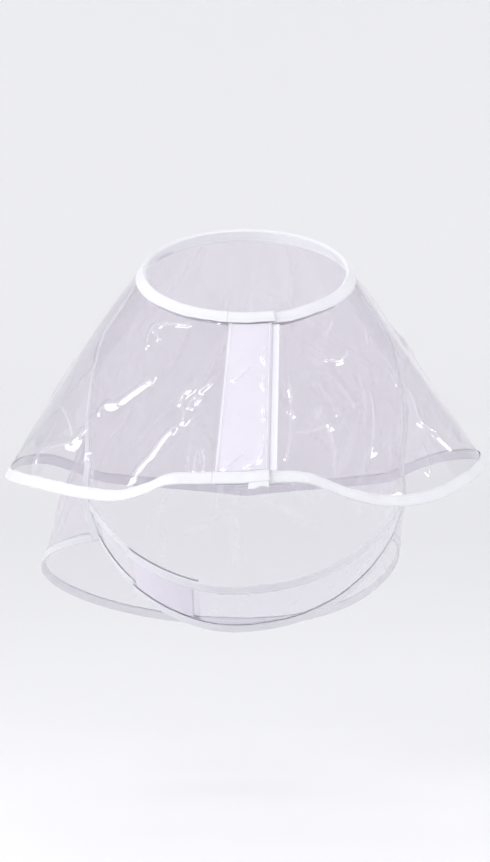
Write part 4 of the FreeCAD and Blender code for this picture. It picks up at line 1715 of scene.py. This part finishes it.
@dataclass
class Coat:
    """The body panel: one film sheet with bound leg edges and a bound rear hem."""

    body: str = "coat"
    top: float = 0.012
    columns: int = 330
    rows: int = 150
    hem_ends: tuple[float, float] = (-0.986, 0.978)
    leg_start: float = 0.055
    half_girth: float = 0.36
    drop: float = 0.5
    neck_calm: float = 0.30
    hem_calm: float = 0.035
    leg_calm: float = 0.05
    cut: tuple[float, float] = (0.86, 0.53)
    cut_area: float = 0.235
    creases: tuple = field(default_factory=lambda: (
        Crease(((-0.97, 0.50), (-0.90, 0.62), (-0.84, 0.80), (-0.82, 0.93)), 0.010, 0.0026),
        Crease(((-0.80, 0.55), (-0.76, 0.70), (-0.70, 0.88)), 0.010, -0.0022),
        Crease(((-0.93, 0.70), (-0.88, 0.82), (-0.90, 0.93)), 0.007, 0.0018),
        Crease(((0.93, 0.45), (0.88, 0.62), (0.84, 0.85)), 0.009, 0.0022),
        Crease(((0.97, 0.70), (0.93, 0.82), (0.92, 0.92)), 0.006, 0.0014),
        *scattered(23, 46, (-0.86, 0.86), (0.15, 0.88), (0.08, 0.28), 0.9, (0.008, 0.014),
                   (0.0012, 0.0034), 0.35),
    ))

    def film(self) -> bpy.types.Object:
        """Lay the film sheet with its creases.

        Returns:
            The film's mesh object.
        """
        across, down = np.meshgrid(
            np.linspace(-1, 1, self.columns), np.linspace(self.top, 1, self.rows), indexing="ij")
        smooth = COAT.lifted(across, down)
        height, crest = CreaseField(COAT, self.creases, wave_height=0.0012, wave_length=0.11, seed=4).relief(
            smooth.reshape(-1, 3))
        calm = smooth_step((down - self.top) / self.neck_calm) * smooth_step((1 - down) / self.hem_calm)
        calm = calm * smooth_step((1 - np.abs(across)) / self.leg_calm)
        points = smooth + COAT.normal(across, down) * (height.reshape(down.shape) * calm)[..., None]
        lie = np.stack([across * self.half_girth, down * self.drop], -1)
        return mesh_object(
            "film_coat", points.reshape(-1, 3), grid_faces(*down.shape)[:, ::-1], lie.reshape(-1, 2),
            (crest.reshape(down.shape) * calm).ravel())

    def build(self, finishes: Finishes) -> None:
        """Build and dress every piece of the coat.

        Args:
            finishes: the materials.
        """
        film = settle(self.film(), finishes.film, Slot.FILM, self.body, "coat_film")
        hem = Rail(COAT, 1.0, -1.0)
        pieces = [
            settle(FoldedTape().build("tape_coat_hem", hem, *self.hem_ends), finishes.tape, Slot.TAPE,
                   self.body, "coat_hem_binding"),
            settle(StitchRow().build("thread_coat_hem", hem, *self.hem_ends, TAPE_FACES),
                   finishes.thread, Slot.THREAD, self.body, "coat_hem_thread"),
        ]
        for name, side in (("left", 1.0), ("right", -1.0)):
            rail = Rail(COAT, side, -side, along_first=False)
            pieces.append(settle(
                FoldedTape().build(f"tape_leg_{name}", rail, self.leg_start, 1.0), finishes.tape, Slot.TAPE,
                self.body, f"coat_{name}_leg_binding"))
            pieces.append(settle(
                StitchRow().build(f"thread_leg_{name}", rail, self.leg_start, 1.0, TAPE_FACES),
                finishes.thread, Slot.THREAD, self.body, f"coat_{name}_leg_thread"))
        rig.sheet(film, flat=self.cut, held="hung", rests_on=["tape_neck"], area=self.cut_area,
                 with_pieces=pieces)


# ------------------------------------------------------------------ belly band
@dataclass
class BellyBand:
    """The band under the belly: a long half that swings down and a short half that it closes on."""

    end_inset: float = 0.0018
    left_end: float = -0.25
    right_end: float = -0.66
    tape_inset: float = 0.03
    half_film: float = 0.0002
    bending_strip: float = 0.006
    width: float = 0.0667
    half_turn: float = 0.19
    edge_clear: float = 0.0105
    tape_length: float = 0.064
    tape_width: float = 0.045
    tape_face: float = 0.0003
    long_cut: tuple[float, float] = (0.275, 0.068)
    short_cut: tuple[float, float] = (0.125, 0.068)

    def leg_turn(self, shape: BandShape, side: float) -> float:
        """Find the turn at which the band meets the leg binding.

        Args:
            shape: the band's sheet.
            side: 1 for +X, -1 for -X.

        Returns:
            The turn.
        """
        middle = shape.at(np.array(side), np.array(0.5))
        near = shape.at(np.array(side * 0.99), np.array(0.5))
        return side * (1.0 - self.end_inset / (float(np.linalg.norm(middle - near)) / 0.01))

    def film(self, name: str, shape: BandShape, start: float, end: float, seed: int) -> bpy.types.Object:
        """Lay one half's film.

        Args:
            name: the piece's name.
            shape: the sheet it lies on.
            start: its first turn.
            end: its last turn.
            seed: the start of the random numbers for its creases.

        Returns:
            The film's mesh object.
        """
        columns = max(int(abs(end - start) * 130), 40)
        turn, width = np.meshgrid(np.linspace(start, end, columns), np.linspace(0, 1, 36), indexing="ij")
        smooth = shape.lifted(turn, width)
        low, high = min(start, end) + 0.06, max(start, end) - 0.06
        creases = scattered(seed, 7, (low, high), (0.3, 0.7), (0.2, 0.5), 0.25, (0.004, 0.007),
                            (0.0006, 0.0013))
        height, crest = CreaseField(shape, creases, wave_height=0.0004, wave_length=0.05, seed=seed).relief(
            smooth.reshape(-1, 3))
        taped = smooth_step((turn - self.left_end) / 0.06)
        calm = smooth_step(np.minimum(width, 1 - width) / 0.22) * taped
        calm = calm * smooth_step((np.abs(end - turn)) / 0.05)
        lift = height.reshape(turn.shape) * calm
        top = shape.lifted(turn, width, self.half_film + lift)
        bottom = shape.lifted(turn, width, lift - self.half_film)
        lie = np.stack([turn * self.half_turn, width * self.width], -1).reshape(-1, 2)
        mark = (crest.reshape(turn.shape) * calm).ravel()
        return mesh_object(name, np.concatenate([top.reshape(-1, 3), bottom.reshape(-1, 3)]),
                           slab_faces(*turn.shape), np.concatenate([lie, lie]), np.concatenate([mark, mark]))

    def half(self, finishes: Finishes, name: str, shape: BandShape, start: float, end: float,
             body: str | Hinge, cut: tuple[float, float], seed: int) -> None:
        """Build and dress one half of the band.

        Args:
            finishes: the materials.
            name: left or right.
            shape: the sheet it lies on.
            start: its first turn.
            end: its last turn.
            body: the body it rides on, or the hinge it bends over.
            cut: the film's flat size.
            seed: the start of the random numbers for its creases.
        """
        film = settle(self.film(f"film_band_{name}", shape, start, end, seed), finishes.flap_film,
                      Slot.FILM, body, f"band_{name}_film")
        pieces = []
        for edge_name, edge, inward in (("front", 0.0, 1.0), ("rear", 1.0, -1.0)):
            rail = Rail(shape, edge, inward)
            pieces.append(settle(
                FoldedTape().build(f"tape_band_{name}_{edge_name}", rail, start, end), finishes.tape,
                Slot.TAPE, body, f"band_{name}_{edge_name}_binding"))
            pieces.append(settle(
                StitchRow().build(f"thread_band_{name}_{edge_name}", rail, start, end, TAPE_FACES),
                finishes.thread, Slot.THREAD, body, f"band_{name}_{edge_name}_thread"))
        clear = self.edge_clear / self.width
        low, high = self.right_end + self.tape_inset, self.left_end - self.tape_inset

        def place(across: Array, along: Array, lift: Array) -> Array:
            """Find points on the closing tape.

            Args:
                across: the shares of the way over its width.
                along: the shares of the way over its length.
                lift: how far off the sheet, outwards.

            Returns:
                The points, on the last axis.
            """
            return shape.lifted(blend(low, high, along), blend(clear, 1 - clear, across), lift)

        kind, finish, slot, node, face = (
            (PileKind.LOOPS, finishes.loop, Slot.LOOP, "band_loop_tape", self.tape_face) if name == "right"
            else (PileKind.HOOKS, finishes.hook, Slot.HOOK, "band_hook_tape", -self.tape_face)
        )
        tape = FasteningTape(kind, pile=0.0004, seed=seed)
        strip = tape.build(f"tape_band_{kind.value}", place, self.tape_length, self.tape_width, face)
        pieces.append(settle(strip, finish, slot, body, node))
        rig.sheet(film, flat=cut, held="hung", rests_on=["film_coat"], with_pieces=pieces)

    def build(self, finishes: Finishes) -> None:
        """Build and dress both halves.

        Args:
            finishes: the materials.
        """
        inner, outer = BandShape(), BandShape(outer=True)
        end = self.leg_turn(inner, 1.0)
        outward = outer.normal(np.array(end), np.array(0.5))
        hinge = Hinge.beside("band_swing", outward, np.array([-1.0, 0.0, -1.0]), self.bending_strip)
        start = self.leg_turn(inner, -1.0)
        self.half(finishes, "right", inner, start, self.left_end, "coat", self.short_cut, 31)
        self.half(finishes, "left", outer, self.right_end, end, hinge, self.long_cut, 37)


# ------------------------------------------------------------------ studio
@dataclass
class Studio:
    """A plain pale sweep, soft lamps and the camera."""

    floor_z: float = -0.525
    floor_reach: float = 9.0
    wall_y: float = 6.5
    wall_radius: float = 1.6
    aim: tuple[float, float, float] = (-0.0009, 0.0, -0.1446)
    elevation: float = 5.0
    distance: float = 2.6
    view_height: float = 0.7758
    room_dim: tuple = (0.60, 0.605, 0.63, 1.0)
    room_pale: tuple = (0.95, 0.95, 0.98, 1.0)
    room_strength: float = 0.80

    def sweep(self, paper: bpy.types.Material) -> None:
        """Lay the floor, curved up into a backdrop.

        Args:
            paper: the floor's material.
        """
        start, radius = self.wall_y - self.wall_radius, self.wall_radius
        turns = np.linspace(0.1, math.pi / 2, 14)
        profile = [(-self.floor_reach, 0.0), (start, 0.0)]
        profile += [(start + radius * math.sin(t), radius - radius * math.cos(t)) for t in turns]
        profile += [(self.wall_y, self.floor_reach)]
        across = (-self.floor_reach, self.floor_reach)
        points = np.array([[(x, y, z + self.floor_z) for x in across] for y, z in profile]).reshape(-1, 3)
        floor = mesh_object("studio_sweep", points, grid_faces(len(profile), 2), points[:, :2])
        floor.data.materials.append(paper)
        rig.stage(floor)

    def lamp(self, name: str, place: tuple, size: tuple, brightness: float,
             target: tuple = (0.0, 0.05, -0.15)) -> None:
        """Hang a soft lamp.

        Args:
            name: the lamp's name.
            place: where it hangs.
            size: its width and height.
            brightness: how bright its face is, in watts for each square metre and steradian.
            target: the point that it faces.
        """
        light = bpy.data.lights.new(name, "AREA")
        light.shape, light.size, light.size_y = "RECTANGLE", *size
        light.energy = brightness * math.pi * size[0] * size[1]
        lamp = bpy.data.objects.new(name, light)
        lamp.location = place
        lamp.rotation_euler = (Vector(target) - Vector(place)).to_track_quat("-Z", "Y").to_euler()
        bpy.context.scene.collection.objects.link(lamp)

    def surroundings(self) -> bpy.types.World:
        """Make the room's light: pale behind and above the garment, dimmer in front of it.

        Returns:
            The world.
        """
        world = bpy.data.worlds.new("studio_room")
        world.use_nodes = True
        nodes = Nodes(world.node_tree)
        place = nodes.add("ShaderNodeTexCoord").outputs["Generated"]
        parts = nodes.add("ShaderNodeSeparateXYZ", {0: place})
        behind = nodes.maths("MULTIPLY", parts.outputs[1], 0.55)
        above = nodes.maths("MULTIPLY", parts.outputs[2], 0.25)
        share = nodes.add("ShaderNodeClamp", {0: nodes.maths("ADD", nodes.maths("ADD", behind, above), 0.45)})
        colour = nodes.mixed(share.outputs[0], self.room_dim, self.room_pale)
        background = world.node_tree.nodes["Background"]
        world.node_tree.links.new(colour, background.inputs["Color"])
        background.inputs["Strength"].default_value = self.room_strength
        return world

    def build(self, finishes: Finishes) -> None:
        """Set up the sweep, the lamps, the pale surroundings and the camera.

        Args:
            finishes: the materials.
        """
        self.sweep(finishes.paper)
        self.lamp("over_camera", (-0.48, -1.85, 1.14), (1.60, 0.45), 5.0)
        self.lamp("front_left", (-1.5, -1.45, 0.75), (0.90, 0.50), 6.2)
        self.lamp("left_side", (-2.05, -0.45, 0.55), (0.95, 0.55), 8.8)
        self.lamp("right_side", (2.05, -0.35, 0.60), (0.65, 0.75), 8.8)
        self.lamp("front_right", (1.1, -1.7, 0.9), (0.60, 0.70), 4.4)
        self.lamp("high_left", (-0.95, -1.08, 1.48), (0.30, 0.42), 8.0)
        self.lamp("overhead", (0.0, 0.1, 2.2), (0.40, 0.40), 5.0)
        self.lamp("wall_left", (-1.9, 4.2, 1.9), (1.10, 1.10), 4.8, (-1.4, 6.0, 0.9))
        self.lamp("wall_right", (1.9, 4.2, 1.9), (1.10, 1.10), 4.8, (1.4, 6.0, 0.9))
        self.lamp("floor_fill", (0.0, 2.6, 2.8), (3.4, 1.4), 2.6, (0.0, 3.2, -0.5))
        world = self.surroundings()
        scene = bpy.context.scene
        scene.world = world
        scene.view_settings.view_transform = "Standard"
        scene.cycles.transparent_max_bounces = 24
        camera = bpy.data.cameras.new("camera")
        camera.sensor_width = 36.0
        camera.lens = camera.sensor_width * self.distance / self.view_height
        holder = bpy.data.objects.new("camera", camera)
        lean = math.radians(self.elevation)
        back = Vector((0.0, -math.cos(lean), math.sin(lean)))
        holder.location = Vector(self.aim) + back * self.distance
        holder.rotation_euler = (-back).to_track_quat("-Z", "Y").to_euler()
        scene.collection.objects.link(holder)
        scene.camera = holder


def write_sizes() -> None:
    """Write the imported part's box and the finished model's box."""
    boxes = {"cad": cad_box, "visual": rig.bounds()}
    sizes = {name: [list(corner) for corner in box] for name, box in boxes.items()}
    with open("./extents.json", "w") as out:
        json.dump(sizes, out)


def main() -> None:
    """Build the garment piece by piece, then the studio round it."""
    logging.basicConfig(level=logging.INFO, format="%(name)s: %(message)s")
    finishes = Finishes()
    Cape().build(finishes)
    Placket().build(finishes)
    Coat().build(finishes)
    BellyBand().build(finishes)
    Studio().build(finishes)
    write_sizes()


if __name__ == "__main__":
    main()
